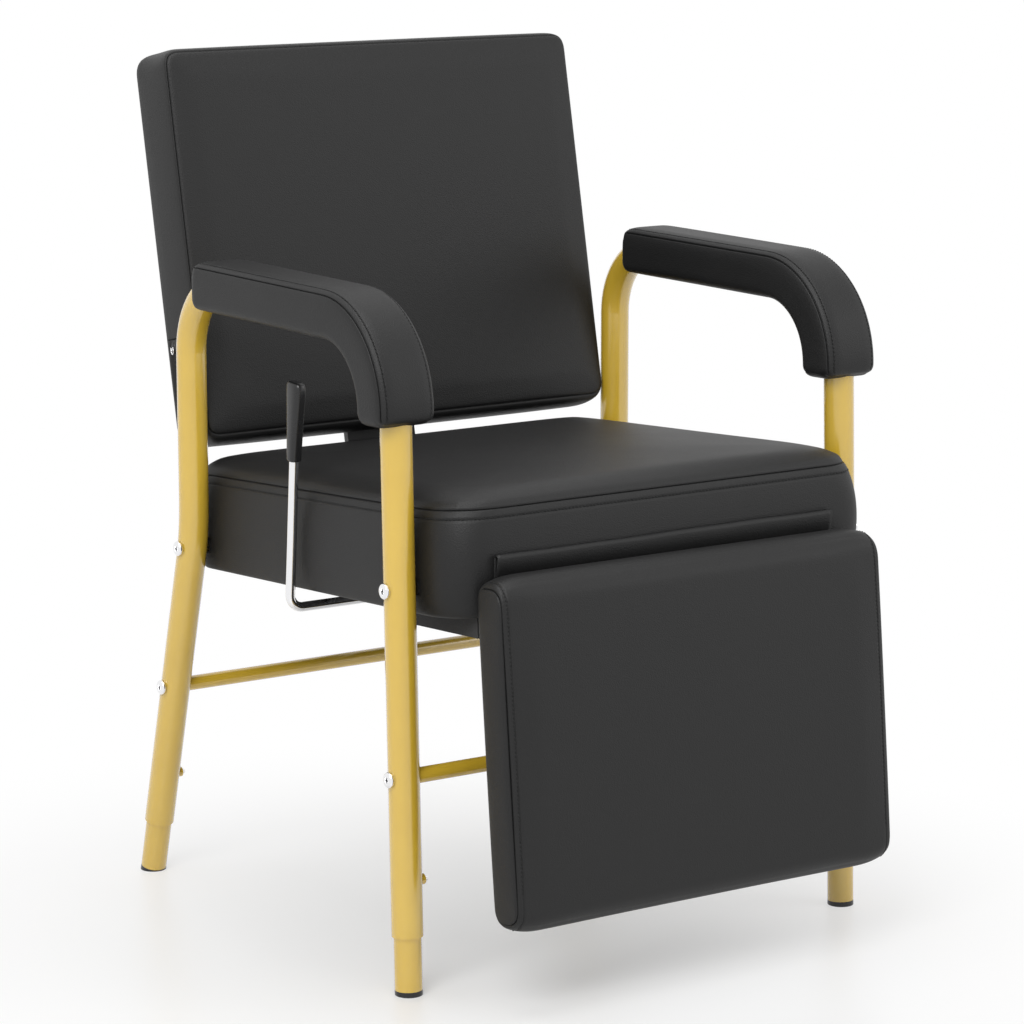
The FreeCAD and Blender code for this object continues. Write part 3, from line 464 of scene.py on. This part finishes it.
def graded(low, high, step, edge):
    """Grid lines from low to high, close together within edge of both ends."""
    near = np.concatenate([[0, seam_cell], np.linspace(2 * seam_cell, edge, 5)])
    inner = np.linspace(low + edge, high - edge, max(2, round((high - low - 2 * edge) / step)))
    return np.concatenate([low + near[:-1], inner, (high - near[:-1])[::-1]])


def rounded(a, b, half_a, half_b, radius):
    """A rectangle's grid with round corners: square rings in a corner become arcs."""
    over_a = np.abs(a) - (half_a - radius)
    over_b = np.abs(b) - (half_b - radius)
    corner = (over_a > 0) & (over_b > 0)
    reach = np.maximum(over_a, over_b)
    shrink = np.where(corner, reach / np.maximum(np.hypot(over_a, over_b), tiny), 1)
    round_a = np.where(corner, np.sign(a) * (half_a - radius + over_a * shrink), a)
    round_b = np.where(corner, np.sign(b) * (half_b - radius + over_b * shrink), b)
    return round_a, round_b


def quarter(share):
    """A quarter circle's rise, from upright at 0 to level at 1."""
    return np.sqrt(1 - (1 - np.clip(share, 0, 1)) ** 2)


def boxed_form(cells, half_x, half_y, side, crown, corners, seam_in, seam_reach, low_in, low_reach, roll,
               crown_slope=0):
    """A boxed cushion on its own XY plane, full between its lower edge and its seam, domed above the seam.

    corners gives the corner radii below, half way and at the seam, for the -Y end and for the +Y end.
    seam_in gives how far the seam is drawn in at the sides, at the -Y end and at the +Y end.
    """
    x, y, z = cells.T
    edge = np.minimum(half_x - np.abs(x), half_y - np.abs(y))
    away = (2 * np.clip(z / side, 0, 1) - 1) ** 2
    near, far = [half_way + (np.where(z < side / 2, low, seam) - half_way) * away
                 for low, half_way, seam in corners]
    form_x, form_y = rounded(x, y, half_x, half_y, np.where(y < 0, near, far))
    low_inset = low_in * (1 - quarter(z / low_reach))
    seam_inset = 1 - quarter((side - z) / seam_reach)
    side_in, near_in, far_in = seam_in
    form_x = form_x * (1 - (low_inset + side_in * seam_inset) / half_x)
    form_y = form_y * (1 - (low_inset + np.where(y < 0, near_in, far_in) * seam_inset) / half_y)
    slow = np.sin(pi / 2 * np.clip(edge / (0.8 * min(half_x, half_y)), 0, 1))
    dome = (crown + crown_slope * y) * (0.8 * quarter(edge / roll) + 0.2 * slow)
    return np.stack([form_x, form_y, np.where(z > side - hair, side + dome, z)], axis=1)


def mesh_piece(name, points, faces, place=Matrix.Identity(4)):
    """An object at the origin whose mesh is already in place."""
    mesh = bpy.data.meshes.new(name)
    mesh.from_pydata([place @ Vector(point) for point in points], [], faces)
    mesh.update()
    made = bpy.data.objects.new(name, mesh)
    bpy.context.scene.collection.objects.link(made)
    return made


def finished(piece, slot, body):
    """Smooth shading, its slot's material and the body it rides."""
    piece.data.polygons.foreach_set("use_smooth", [True] * len(piece.data.polygons))
    piece.data.materials.clear()
    piece.data.materials.append(materials[slot])
    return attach(piece, body)


def vectors(items, field):
    """A field of three numbers of every item, as rows."""
    flat = np.empty(len(items) * 3)
    items.foreach_get(field, flat)
    return flat.reshape(-1, 3)


def kept_result(piece):
    """Puts what a piece's modifiers make in the place of its mesh."""
    graph = bpy.context.evaluated_depsgraph_get()
    result = bpy.data.meshes.new_from_object(piece.evaluated_get(graph))
    piece.modifiers.clear()
    piece.data = result


def evened(piece, step, held, rounds=14):
    """Movements of a mesh's points averaged with their neighbours', the held points staying still."""
    ends = np.empty(2 * len(piece.data.edges), dtype=int)
    piece.data.edges.foreach_get("vertices", ends)
    first, second = ends.reshape(-1, 2).T
    count = np.bincount(ends, minlength=len(step))[:, None]
    for number in range(rounds):
        total = np.zeros_like(step)
        np.add.at(total, first, step[second])
        np.add.at(total, second, step[first])
        step = total / count
        step[held] = 0
    return step


def puffed(pieces, frames=20):
    """Air pressure in the sewn covers, with the seams and the flat undersides held."""
    before = {}
    for piece, held, reach in pieces:
        before[piece.name] = vectors(piece.data.vertices, "co")
        group = piece.vertex_groups.new(name="held")
        group.add([int(v) for v in held], 1.0, "REPLACE")
        cloth = piece.modifiers.new("cloth", "CLOTH")
        cloth.settings.quality = 6
        cloth.settings.mass = 0.35
        cloth.settings.tension_stiffness = 40
        cloth.settings.compression_stiffness = 40
        cloth.settings.shear_stiffness = 20
        cloth.settings.bending_stiffness = 6
        cloth.settings.use_pressure = True
        cloth.settings.uniform_pressure_force = puff_pressure
        cloth.settings.effector_weights.gravity = 0
        cloth.settings.vertex_group_mass = "held"
        cloth.point_cache.frame_start = 1
        cloth.point_cache.frame_end = frames
    for number in range(1, frames + 1):
        bpy.context.scene.frame_set(number)
    graph = bpy.context.evaluated_depsgraph_get()
    for piece, held, reach in pieces:
        settled = piece.evaluated_get(graph).to_mesh()
        step = evened(piece, vectors(settled.vertices, "co") - before[piece.name], held)
        length = np.linalg.norm(step, axis=1, keepdims=True)
        step *= np.minimum(1, reach / np.maximum(length, tiny))
        piece.modifiers.clear()
        piece.vertex_groups.clear()
        piece.data.vertices.foreach_set("co", (before[piece.name] + step).ravel())
        piece.data.update()
    bpy.context.scene.frame_set(1)


def between(shape, row):
    """Edges whose two ends are both in a row of members."""
    members = {int(v) for v in row}
    return [edge for edge in shape.edges
            if edge.verts[0].index in members and edge.verts[1].index in members]


def sewn_edges(piece, seams, rows):
    """Marks the seams as sharp folds, and the stitch rows as sharp edges alone."""
    shape = bmesh.new()
    shape.from_mesh(piece.data)
    crease = shape.edges.layers.float.new("crease_edge")
    for row in seams:
        for edge in between(shape, row):
            edge.seam = True
            edge[crease] = 1.0
    for row in rows:
        for edge in between(shape, row):
            edge.smooth = False
    shape.to_mesh(piece.data)
    shape.free()


def smoothed(piece, levels=1):
    """The mesh after smooth subdivision."""
    modifier = piece.modifiers.new("smooth", "SUBSURF")
    modifier.levels = levels
    modifier.render_levels = levels
    kept_result(piece)


def grooved(piece, width, depth, is_seam, samples=20):
    """Sinks a narrow groove along the marked seams or stitch rows."""
    shape = bmesh.new()
    shape.from_mesh(piece.data)
    edges = [edge for edge in shape.edges if (edge.seam if is_seam else not edge.smooth)]
    if edges:
        lines = KDTree(samples * len(edges))
        for number, edge in enumerate(edges):
            for part in range(samples):
                lines.insert(edge.verts[0].co.lerp(edge.verts[1].co, part / samples), number)
        lines.balance()
        made = bmesh.ops.bevel(shape, geom=edges, offset=width / 2, offset_type="OFFSET", segments=4,
                               profile=0.5, affect="EDGES", clamp_overlap=True)
        shape.normal_update()
        for vert in {vert for face in made["faces"] for vert in face.verts}:
            away = lines.find(vert.co)[2]
            vert.co -= vert.normal * depth * max(0, 1 - (2 * away / width) ** 2)
    if not is_seam:
        for edge in shape.edges:
            edge.smooth = True
    shape.to_mesh(piece.data)
    shape.free()


def notched(piece, low, high, place):
    """Cuts a square notch, given by two opposite corners, out of a cover."""
    cells, quads = lattice(*zip(low, high))
    cutter = mesh_piece("cutter", cells, quads, place)
    modifier = piece.modifiers.new("notch", "BOOLEAN")
    modifier.operation = "DIFFERENCE"
    modifier.solver = "EXACT"
    modifier.object = cutter
    kept_result(piece)
    bpy.data.objects.remove(cutter)


def stitches(name, line, outs, closed=False):
    """A row of short thread lengths along a line of points, each dipping into the cover at both ends."""
    line = np.array(line)
    outs = np.array(outs)
    if closed:
        line = np.vstack([line, line[:1]])
        outs = np.vstack([outs, outs[:1]])
    run = np.concatenate([[0], np.cumsum(np.linalg.norm(np.diff(line, axis=0), axis=1))])
    count = int(run[-1] / stitch_pitch)
    last_ring = len(thread_rings) - 1
    points, faces = [], []
    for number in range(count):
        middle = (number + 0.5) * run[-1] / count
        spots = [middle + share * stitch_length for share, size, lift in thread_rings]
        centres = np.stack([np.interp(spots, run, line[:, axis]) for axis in range(3)], axis=1)
        out = np.array([np.interp(middle, run, outs[:, axis]) for axis in range(3)])
        out /= np.linalg.norm(out)
        along = centres[-1] - centres[0]
        along /= np.linalg.norm(along)
        across = np.cross(out, along)
        first = len(points)
        for centre, (share, size, lift) in zip(centres, thread_rings):
            for corner in range(thread_sides):
                turn = 2 * pi * corner / thread_sides
                points.append(centre + stitch_radius * (
                    out * (lift + size * sin(turn)) + across * size * cos(turn)))
        for ring in range(last_ring):
            for corner in range(thread_sides):
                after = (corner + 1) % thread_sides
                low, high = first + ring * thread_sides, first + (ring + 1) * thread_sides
                faces.append((low + corner, low + after, high + after, high + corner))
        faces.append(tuple(first + corner for corner in reversed(range(thread_sides))))
        faces.append(tuple(first + last_ring * thread_sides + corner for corner in range(thread_sides)))
    return mesh_piece(name, points, faces)


seat_frame = Matrix.Translation(seat_place) @ Matrix.Rotation(-seat_tilt, 4, "X")
back_turn = Matrix.Rotation(pi / 2 - back_lean, 4, "X")
back_frame = Matrix.Translation(pivots["recline"] - back_turn @ back_pivot_in_panel) @ back_turn
legrest_turn = Matrix.Rotation(pi / 2 - legrest_lean, 4, "X")
legrest_frame = Matrix.Translation(
    pivots["legrest_lift"] - legrest_turn @ legrest_pivot_in_panel) @ legrest_turn

to_puff = []
sewn = []


def on_seam(cells, half_x, half_y, height):
    """Members of the ring round a boxed cushion's side at a height."""
    edge = np.minimum(half_x - abs(cells[:, 0]), half_y - abs(cells[:, 1]))
    ring = np.flatnonzero((edge < hair) & (abs(cells[:, 2] - height) < hair))
    return ring[np.argsort(np.arctan2(cells[ring, 1], cells[ring, 0]))]


# Seat cushion
seat_stitch_height = seat_side - seat_stitch_drop
xs = graded(-seat_half_width, seat_half_width, grid_step, seat_fine_band)
ys = graded(-seat_half_depth, seat_half_depth, grid_step, seat_fine_band)
zs = np.concatenate([[0, 0.003, 0.008, 0.014, 0.022], np.linspace(0.031, 0.079, 6),
                     [0.087, seat_stitch_height, seat_side - seam_cell, seat_side]])
cells, quads = lattice(xs, ys, zs)
seat_corner_front = [np.where(cells[:, 0] > 0, left, right)
                     for left, right in zip(seat_corner_left, seat_corner_right)]
form = boxed_form(cells, seat_half_width, seat_half_depth, seat_side, seat_crown,
                  (seat_corner_front, seat_corner_rear), seat_seam_in, seat_seam_reach,
                  seat_low_in, seat_low_reach, seat_roll, seat_crown_slope)
share = cells[:, 2] / seat_side
form[:, 2] += share * (seat_seam_lift - seat_seam_slope * cells[:, 1]) - (1 - share) * cover_under
seat = mesh_piece("seat_cover", form, quads, seat_frame)
seat_seam = on_seam(cells, seat_half_width, seat_half_depth, seat_side)
seat_stitch = on_seam(cells, seat_half_width, seat_half_depth, seat_stitch_height)
seat_floor = np.flatnonzero(cells[:, 2] < hair)
to_puff.append((seat, np.concatenate([seat_seam, seat_floor]), seat_puff))
sewn.append((seat, [seat_seam], [(seat_stitch, True)], "frame"))
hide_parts("seat_cushion")

# Back cushion, with a sunk strip for a zip low on each side
back_half_length = (back_high - back_low) / 2
back_middle = (back_high + back_low) / 2
zip_middle = (zip_rear + zip_front) / 2
zip_top_y = zip_top - back_middle
xs = graded(-back_half_width, back_half_width, grid_step, back_fine_band)
ys = graded(-back_half_length, back_half_length, grid_step, back_fine_band)
ys[np.argmin(abs(ys - zip_top + back_middle))] = zip_top_y
zs = np.array([0, 0.003, 0.006, zip_rear - zip_lip, zip_rear, zip_middle, zip_front, zip_front + zip_lip,
               0.028, 0.036, 0.043, 0.050, 0.057, 0.063, back_side - seam_cell, back_side])
cells, quads = lattice(xs, ys, zs)
form = boxed_form(cells, back_half_width, back_half_length, back_side, back_crown,
                  (back_corner_low, back_corner_high),
                  (back_seam_side_in, back_seam_low - back_low, back_high - back_seam_high), back_seam_reach,
                  back_low_in, back_low_reach, back_roll)
x, y, z = cells.T
on_side = back_half_width - abs(x) < hair
zipped = on_side & (y < zip_top_y - zip_stop) & (z > zip_rear - hair) & (z < zip_front + hair)
form[:, 0] -= np.where(zipped, np.sign(x) * zip_depth, 0)
form[:, 1] += back_middle
form[:, 2] -= (1 - z / back_side) * cover_under
back = mesh_piece("back_cover", form, quads, back_frame)
back_seam = on_seam(cells, back_half_width, back_half_length, back_side)
back_floor = np.flatnonzero(cells[:, 2] < hair)
zip_row = on_side & (abs(y - zip_top + back_middle) < hair) & (z > zip_lip) & (z < zip_seam_front)
zip_seams = [np.flatnonzero(zip_row & (x * way > 0)) for way in (1, -1)]
to_puff.append((back, np.concatenate([back_seam, back_floor, np.flatnonzero(zipped)]), back_puff))
sewn.append((back, [back_seam] + zip_seams, [], "back"))
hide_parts("back_cushion")

# Legrest: a wrapped band with a sewn panel at each side
half_thickness = legrest_thickness / 2
xs = graded(-legrest_half_width, legrest_half_width, grid_step, legrest_side_band)
ys = graded(-legrest_half_length, legrest_half_length, grid_step, legrest_end_band)
zs = np.linspace(-half_thickness, half_thickness, 13)
cells, quads = lattice(xs, ys, zs)
x, y, z = cells.T
front_y, front_z = rounded(y, z, legrest_half_length, half_thickness, legrest_round)
rear_y, rear_z = rounded(y, z, legrest_half_length, half_thickness, legrest_rear_round)
form_y = np.where(z > 0, front_y, rear_y)
form_z = np.where(z > 0, front_z, rear_z)
edge = legrest_half_width - abs(x)
full = quarter(edge / legrest_side_band)
form_y = form_y * (1 - legrest_end_inset / legrest_half_length * (1 - full))
panel = np.clip(1 - (y / legrest_half_length) ** 2, 0, 1) ** 0.6
crown_share = panel * (0.6 * full + 0.4 * quarter(edge / legrest_crown_reach))
form_z = form_z + np.clip(z / half_thickness, 0, 1) * legrest_crown * crown_share
cheek = np.clip((1 - (y / legrest_half_length) ** 2) * (1 - (z / half_thickness) ** 2), 0, 1)
form_x = x + np.sign(x) * np.where(edge < hair, legrest_cheek * cheek ** 0.5, 0)
form = np.stack([form_x + legrest_middle.x, form_y + legrest_middle.y,
                 form_z + half_thickness - np.where(z < 0, cover_under, 0)], axis=1)
legrest = mesh_piece("legrest_cover", form, quads, legrest_frame)
lip = np.maximum(abs(y) - legrest_half_length, abs(z) - half_thickness) > -hair
legrest_seams = [np.flatnonzero(lip & (abs(x - way * legrest_half_width) < hair)) for way in (1, -1)]
legrest_rear = np.flatnonzero(z < hair - half_thickness)
to_puff.append((legrest, np.concatenate(legrest_seams + [legrest_rear]), legrest_puff))
legrest_rows = []
for way in (1, -1):
    on_row = abs(x - way * (legrest_half_width - 2 * seam_cell)) < hair
    row = np.flatnonzero(lip & (z > -half_thickness / 2) & on_row)
    legrest_rows.append((row[np.argsort(y[row] - z[row])], False))
sewn.append((legrest, legrest_seams, legrest_rows, "legrest"))
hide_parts("legrest_cushion")

# Arm pads, swept along the arm tube
arm_corner_y = front_foot_y + arm_height * tan(front_rake)
arm_turn = pi / 2 - front_rake
arm_straight = arm_rear_y - arm_corner_y - arm_bend * tan(arm_turn / 2)
arm_drop = arm_height - arm_bend * tan(arm_turn / 2) * cos(front_rake) - arm_front_z
pad_length = arm_straight + arm_bend * arm_turn + arm_drop / cos(front_rake)


def arm_line(run):
    """Place and outward direction in the YZ plane at a run along the pad from its rear."""
    angle = np.clip((run - arm_straight) / arm_bend, 0, arm_turn)
    before = np.minimum(run, arm_straight)
    after = np.maximum(run - arm_straight - arm_bend * arm_turn, 0)
    place_y = arm_rear_y - before - arm_bend * np.sin(angle) - sin(front_rake) * after
    place_z = arm_height - arm_bend * (1 - np.cos(angle)) - cos(front_rake) * after
    return place_y, place_z, -np.sin(angle), np.cos(angle)


pad_half_height = (pad_over + pad_under) / 2
xs = graded(-pad_half_width, pad_half_width, pad_step, pad_side_band)
ss = graded(-pad_length / 2, pad_length / 2, pad_run_step, pad_end_band)
ns = np.concatenate([np.linspace(-pad_half_height, pad_half_height - seam_cell, 13), [pad_half_height]])
cells, quads = lattice(xs, ss, ns)
x, s, n = cells.T
low_x, low_n = rounded(x, n, pad_half_width, pad_half_height, pad_low_round)
form_x = np.where(n < 0, low_x, x)
form_n = np.where(n < 0, low_n, n)
form_x, form_s = rounded(form_x, s, pad_half_width, pad_length / 2, pad_plan_round)
form_n, form_s = rounded(form_n, form_s, pad_half_height, pad_length / 2, pad_end_round)
on_top = n > pad_half_height - hair
height_share = (n / pad_half_height + 1) / 2
form_x = form_x * (1 - pad_seam_in / pad_half_width * (1 - quarter((1 - height_share) / pad_seam_reach)))
side_gap = pad_half_width - abs(x)
end_gap = pad_length / 2 - abs(s)
crown = pad_crown * quarter(side_gap / pad_roll) * quarter(end_gap / pad_end_band)
form_n = form_n + np.where(on_top, crown, 0)
line_y, line_z, normal_y, normal_z = arm_line(form_s + pad_length / 2)
height = form_n + (pad_over - pad_under) / 2
sewn_top = on_top & (end_gap > pad_seam_stop)
pad_seams = [np.flatnonzero(sewn_top & (abs(x - way * pad_half_width) < hair)) for way in (1, -1)]
pad_rows = []
for way in (1, -1):
    row = np.flatnonzero(sewn_top & (abs(x - way * (pad_half_width - 2 * seam_cell)) < hair))
    pad_rows.append((row[np.argsort(s[row])], False))
for side_name, side in (("left", 1), ("right", -1)):
    form = np.stack([side * (arm_x + form_x), line_y + height * normal_y, line_z + height * normal_z], axis=1)
    faces = quads if side < 0 else [quad[::-1] for quad in quads]
    pad = mesh_piece("arm_pad_cover_" + side_name, form, faces)
    to_puff.append((pad, np.concatenate(pad_seams), pad_puff))
    sewn.append((pad, pad_seams, pad_rows, "frame"))
    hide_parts("arm_pad_" + side_name)

puffed(to_puff)
for piece, seams, rows, body in sewn:
    normals = vectors(piece.data.vertex_normals, "vector")
    spots = vectors(piece.data.vertices, "co")
    for number, (row, closed) in enumerate(rows):
        thread = stitches("%s_stitches_%d" % (piece.name, number), spots[row], normals[row], closed)
        finished(thread, "black_vinyl", body)
    sewn_edges(piece, seams, [row for row, closed in rows])
    smoothed(piece)
    grooved(piece, seam_width, seam_depth, True)
    grooved(piece, row_width, row_depth, False)
    if piece is legrest:
        for hinge in ("legrest_hinge_left", "legrest_hinge_right"):
            low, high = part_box(hinge)
            notched(piece, (low[0] - notch_play, notch_low, -notch_deep),
                    (high[0] + notch_play, notch_high, notch_deep), legrest_frame)
    finished(piece, "black_vinyl", body)
    if piece is legrest:
        piece.data.set_sharp_from_angle(angle=radians(60))


# Turned and lofted pieces
def lofted(name, rings, place=Matrix.Identity(4)):
    """Closed rings of equal count joined into a skin, with both ends filled."""
    count = len(rings[0])
    points = [point for ring in rings for point in ring]
    faces = []
    for number in range(len(rings) - 1):
        for corner in range(count):
            after = (corner + 1) % count
            low, high = number * count, (number + 1) * count
            faces.append((low + corner, low + after, high + after, high + corner))
    faces.append(tuple(reversed(range(count))))
    faces.append(tuple(range((len(rings) - 1) * count, len(rings) * count)))
    return mesh_piece(name, points, faces, place)


def circle(radius, height, count=36):
    """A circle as a ring of points."""
    turns = [2 * pi * k / count for k in range(count)]
    return [(radius * cos(turn), radius * sin(turn), height) for turn in turns]


def hexagon(radius, height, count=36):
    """A hexagon as a ring of points; radius is to its flats."""
    ring = []
    for k in range(count):
        turn = 2 * pi * k / count
        reach = radius / cos((turn + pi / 6) % (pi / 3) - pi / 6)
        ring.append((reach * cos(turn), reach * sin(turn), height))
    return ring


def bolt_head(name, y, z, side):
    """A domed bolt, its shank through the tube, with a dark plug down in its hexagon socket: the socket's unplated
    steel, and also painted shade in the recess.
    """
    head = [circle(bolt_shank_radius, -bolt_shank), circle(bolt_shank_radius, 0),
            circle(bolt_head_radius, 0), circle(bolt_head_radius, bolt_rim)]
    for share in (0.25, 0.5, 0.75, 1):
        turn = share * pi / 2
        radius = bolt_head_radius - bolt_dome_in * (1 - cos(turn))
        head.append(circle(radius, bolt_rim + bolt_dome * sin(turn)))
    head.append(circle(bolt_face_radius, bolt_face))
    head += [hexagon(radius, height) for radius, height in socket_rings]
    place = Matrix.Translation((side * tube_side, y, z)) @ Matrix.Rotation(side * pi / 2, 4, "Y")
    # Dark steel plug in the socket: unplated steel there, and also painted shade in the recess
    shade_plug = [hexagon(radius, height) for radius, height in shade_plug_rings]
    finished(lofted(name + "_plug", shade_plug, place), "black_steel", "frame")
    return finished(lofted(name, head, place), "chrome", "frame")


for node in ("crossbar_bolts", "seat_bolts"):
    low, high = map(Vector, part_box(node))
    upper = high.z - bolt_head_radius
    lower = low.z + bolt_head_radius
    spots = [(low.y + bolt_head_radius, upper), (high.y - bolt_head_radius, lower)]
    made = [bolt_head("%s_%d_%d" % (node, number, side), y, z, side)
            for number, (y, z) in enumerate(spots) for side in (1, -1)]
    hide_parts(node)


# Lever grip
def flattened(value):
    """A cosine or sine bent from a circle towards a square."""
    return abs(value) ** (2 / grip_roundness) * (1 if value > 0 else -1)


rings = []
for up, depth, breadth in grip_sizes:
    turns = [2 * pi * k / grip_points for k in range(grip_points)]
    rings.append([(breadth * flattened(cos(turn)), depth * flattened(sin(turn)), up) for turn in turns])
lever_pivot = pivots["lever_pull"]
grip_foot = (lever_x, lever_pivot.y - (grip_low - lever_pivot.z) * tan(lever_lean), grip_low)
grip = lofted("grip", rings, Matrix.Translation(grip_foot) @ Matrix.Rotation(lever_lean, 4, "X"))
finished(grip, "black_plastic", "lever")
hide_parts("lever_grip")


# Zips: a coil in each sunk strip, and a slider with a wire pull at its top
def wire(line, radius, count=10):
    """The rings of a round wire along a line of points in the YZ plane."""
    line = np.array(line)
    flow = np.gradient(line, axis=0)
    flow /= np.linalg.norm(flow, axis=1, keepdims=True)
    rings = []
    for place, way in zip(line, flow):
        across = np.array((0, -way[2], way[1]))
        rings.append([tuple(place + radius * (across * cos(2 * pi * k / count)
                                              + np.array((1, 0, 0)) * sin(2 * pi * k / count)))
                      for k in range(count)])
    return rings


slider_high = zip_top - slider_drop
slider_turns = [2 * pi * k / 24 for k in range(24)]
for side_name, side in (("left", 1), ("right", -1)):
    face = side * (back_half_width - zip_depth)
    runs = np.linspace(coil_foot, slider_high - slider_clear, 40)
    line = np.array([(face, along, zip_middle) for along in runs])
    outs = np.tile((side, 0, 0), (len(line), 1))
    for number, shift in enumerate((-coil_gap, coil_gap)):
        coil = stitches("zip_coil_%s_%d" % (side_name, number), line + (0, 0, shift), outs)
        coil.data.transform(back_frame)
        finished(coil, "black_plastic", "back")
    rings = [[(face + side * lift, slider_high + size * cos(turn) * slider_half_length,
               zip_middle + size * sin(turn) * slider_half_width) for turn in slider_turns][::side]
             for lift, size in slider_rings]
    slider = finished(lofted("zip_slider_" + side_name, rings, back_frame), "black_plastic", "back")
    pull_x = side * (back_half_width + pull_lift)
    bend = [(pull_x, slider_high - pull_drop - pull_half_length * sin(turn),
             zip_middle - pull_half_width * cos(turn)) for turn in np.linspace(0, pi, 13)]
    bend = [(pull_x, slider_high, bend[0][2])] + bend + [(pull_x, slider_high, bend[-1][2])]
    pull = lofted("zip_pull_" + side_name, wire(bend, pull_radius), back_frame)
    finished(pull, "chrome", "back")
    if side > 0:
        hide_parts("zip_sliders")

# Flap: a folded loop of vinyl in front of the seat
flap_low, flap_high = map(Vector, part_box("seat_flap"))
flap_radius = (flap_high.y - flap_low.y) / 2
flap_foot_y = flap_radius - flap_lap
flap_foot_z = flap_low.z - flap_tuck
flap_bend_z = flap_high.z - flap_radius
flap_front = [(flap_foot_y - (flap_foot_y + flap_radius) * sin(pi / 2 * share),
               flap_foot_z + (flap_bend_z - flap_foot_z) * share) for share in np.linspace(0, 1, 9)]
flap_bend = [(-flap_radius * cos(turn), flap_bend_z + flap_radius * sin(turn))
             for turn in np.linspace(0, pi, 13)[1:-1]]
flap_rear = [(flap_radius, z) for y, z in reversed(flap_front)]
flap_line = np.array(flap_front + flap_bend + flap_rear)
flow = np.gradient(flap_line, axis=0)
flow /= np.linalg.norm(flow, axis=1, keepdims=True)
inner_line = flap_line + flap_sheet * np.stack([flow[:, 1], -flow[:, 0]], axis=1)
flap_ring = np.vstack([flap_line, inner_line[::-1]])
flap_middle = (flap_high.y + flap_low.y) / 2
flap_ends = (flap_low.x - flap_shift, flap_high.x - flap_trim)
rings = []
for x in np.linspace(*flap_ends, 90):
    lift = flap_rise * (x - flap_low.x) / (flap_high.x - flap_low.x)
    for size, waves, start in flap_waves:
        lift += size * sin(waves * x + start)
    swell = 1 + flap_swell * sin(flap_swell_waves * x)
    rings.append([(x, flap_middle + y * swell, z + lift * (z - flap_low.z) / flap_wave_height)
                  for y, z in flap_ring])
flap = lofted("flap", rings)
finished(flap, "black_vinyl", "frame")
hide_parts("seat_flap")


# Floor and background
def largest(tree, first, second):
    """The larger of two values in a node tree."""
    node = tree.nodes.new("ShaderNodeMath")
    node.operation = "MAXIMUM"
    tree.links.new(first, node.inputs[0])
    tree.links.new(second, node.inputs[1])
    return node.outputs[0]


def background_rays(tree):
    """1 for the rays that show the background: straight, mirrored or through glass."""
    path = tree.nodes.new("ShaderNodeLightPath")
    seen = largest(tree, path.outputs["Is Camera Ray"], path.outputs["Is Glossy Ray"])
    return largest(tree, seen, path.outputs["Is Transmission Ray"])


def mixed(tree, share, first, second, output):
    """Two shaders mixed by a share, led to an output."""
    mix = tree.nodes.new("ShaderNodeMixShader")
    tree.links.new(share, mix.inputs["Fac"])
    tree.links.new(first.outputs[0], mix.inputs[1])
    tree.links.new(second.outputs[0], mix.inputs[2])
    tree.links.new(mix.outputs[0], output.inputs["Surface"])


def stage_floor():
    """A pale floor that goes to white away from the chair and keeps its shadow."""
    corners = [(-floor_reach, -floor_reach, 0), (floor_reach, -floor_reach, 0),
               (floor_reach, floor_reach, 0), (-floor_reach, floor_reach, 0)]
    floor = mesh_piece("floor", corners, [(0, 1, 2, 3)])
    made = bpy.data.materials.new("floor")
    made.use_nodes = True
    tree = made.node_tree
    tree.nodes.clear()
    output = tree.nodes.new("ShaderNodeOutputMaterial")
    paint = tree.nodes.new("ShaderNodeBsdfPrincipled")
    paint.inputs["Base Color"].default_value = floor_white
    paint.inputs["Roughness"].default_value = floor_roughness
    glow = tree.nodes.new("ShaderNodeEmission")
    glow.inputs["Strength"].default_value = 1.0
    place = tree.nodes.new("ShaderNodeTexCoord")
    length = tree.nodes.new("ShaderNodeVectorMath")
    length.operation = "DISTANCE"
    length.inputs[1].default_value = shade_middle
    tree.links.new(place.outputs["Object"], length.inputs[0])
    fade = tree.nodes.new("ShaderNodeMapRange")
    fade.interpolation_type = "SMOOTHSTEP"
    fade.inputs["From Min"].default_value = shade_near
    fade.inputs["From Max"].default_value = shade_far
    fade.inputs["To Min"].default_value = shade_glow
    fade.inputs["To Max"].default_value = 1.0
    tree.links.new(length.outputs["Value"], fade.inputs["Value"])
    share = tree.nodes.new("ShaderNodeMath")
    share.operation = "MULTIPLY"
    tree.links.new(background_rays(tree), share.inputs[0])
    tree.links.new(fade.outputs["Result"], share.inputs[1])
    mixed(tree, share.outputs[0], paint, glow, output)
    floor.data.materials.append(made)


def stage_world():
    """White where it is seen, and a softer light on the chair."""
    world = bpy.data.worlds.new("studio")
    world.use_nodes = True
    bpy.context.scene.world = world
    tree = world.node_tree
    tree.nodes.clear()
    output = tree.nodes.new("ShaderNodeOutputWorld")
    light = tree.nodes.new("ShaderNodeBackground")
    light.inputs["Strength"].default_value = world_light
    light.inputs["Color"].default_value = (1, 1, 1, 1)
    white = tree.nodes.new("ShaderNodeBackground")
    white.inputs["Strength"].default_value = 1.0
    white.inputs["Color"].default_value = (1, 1, 1, 1)
    mixed(tree, background_rays(tree), light, white, output)


def area_light(name, place, size, power):
    """A square lamp that faces the chair."""
    data = bpy.data.lights.new(name, "AREA")
    data.size = size
    data.energy = power
    light = bpy.data.objects.new(name, data)
    light.location = place
    light.rotation_euler = (Vector(lamp_target) - Vector(place)).to_track_quat("-Z", "Y").to_euler()
    bpy.context.scene.collection.objects.link(light)


stage_floor()
stage_world()
for name, place, size, power in lamps:
    area_light(name, place, size, power)
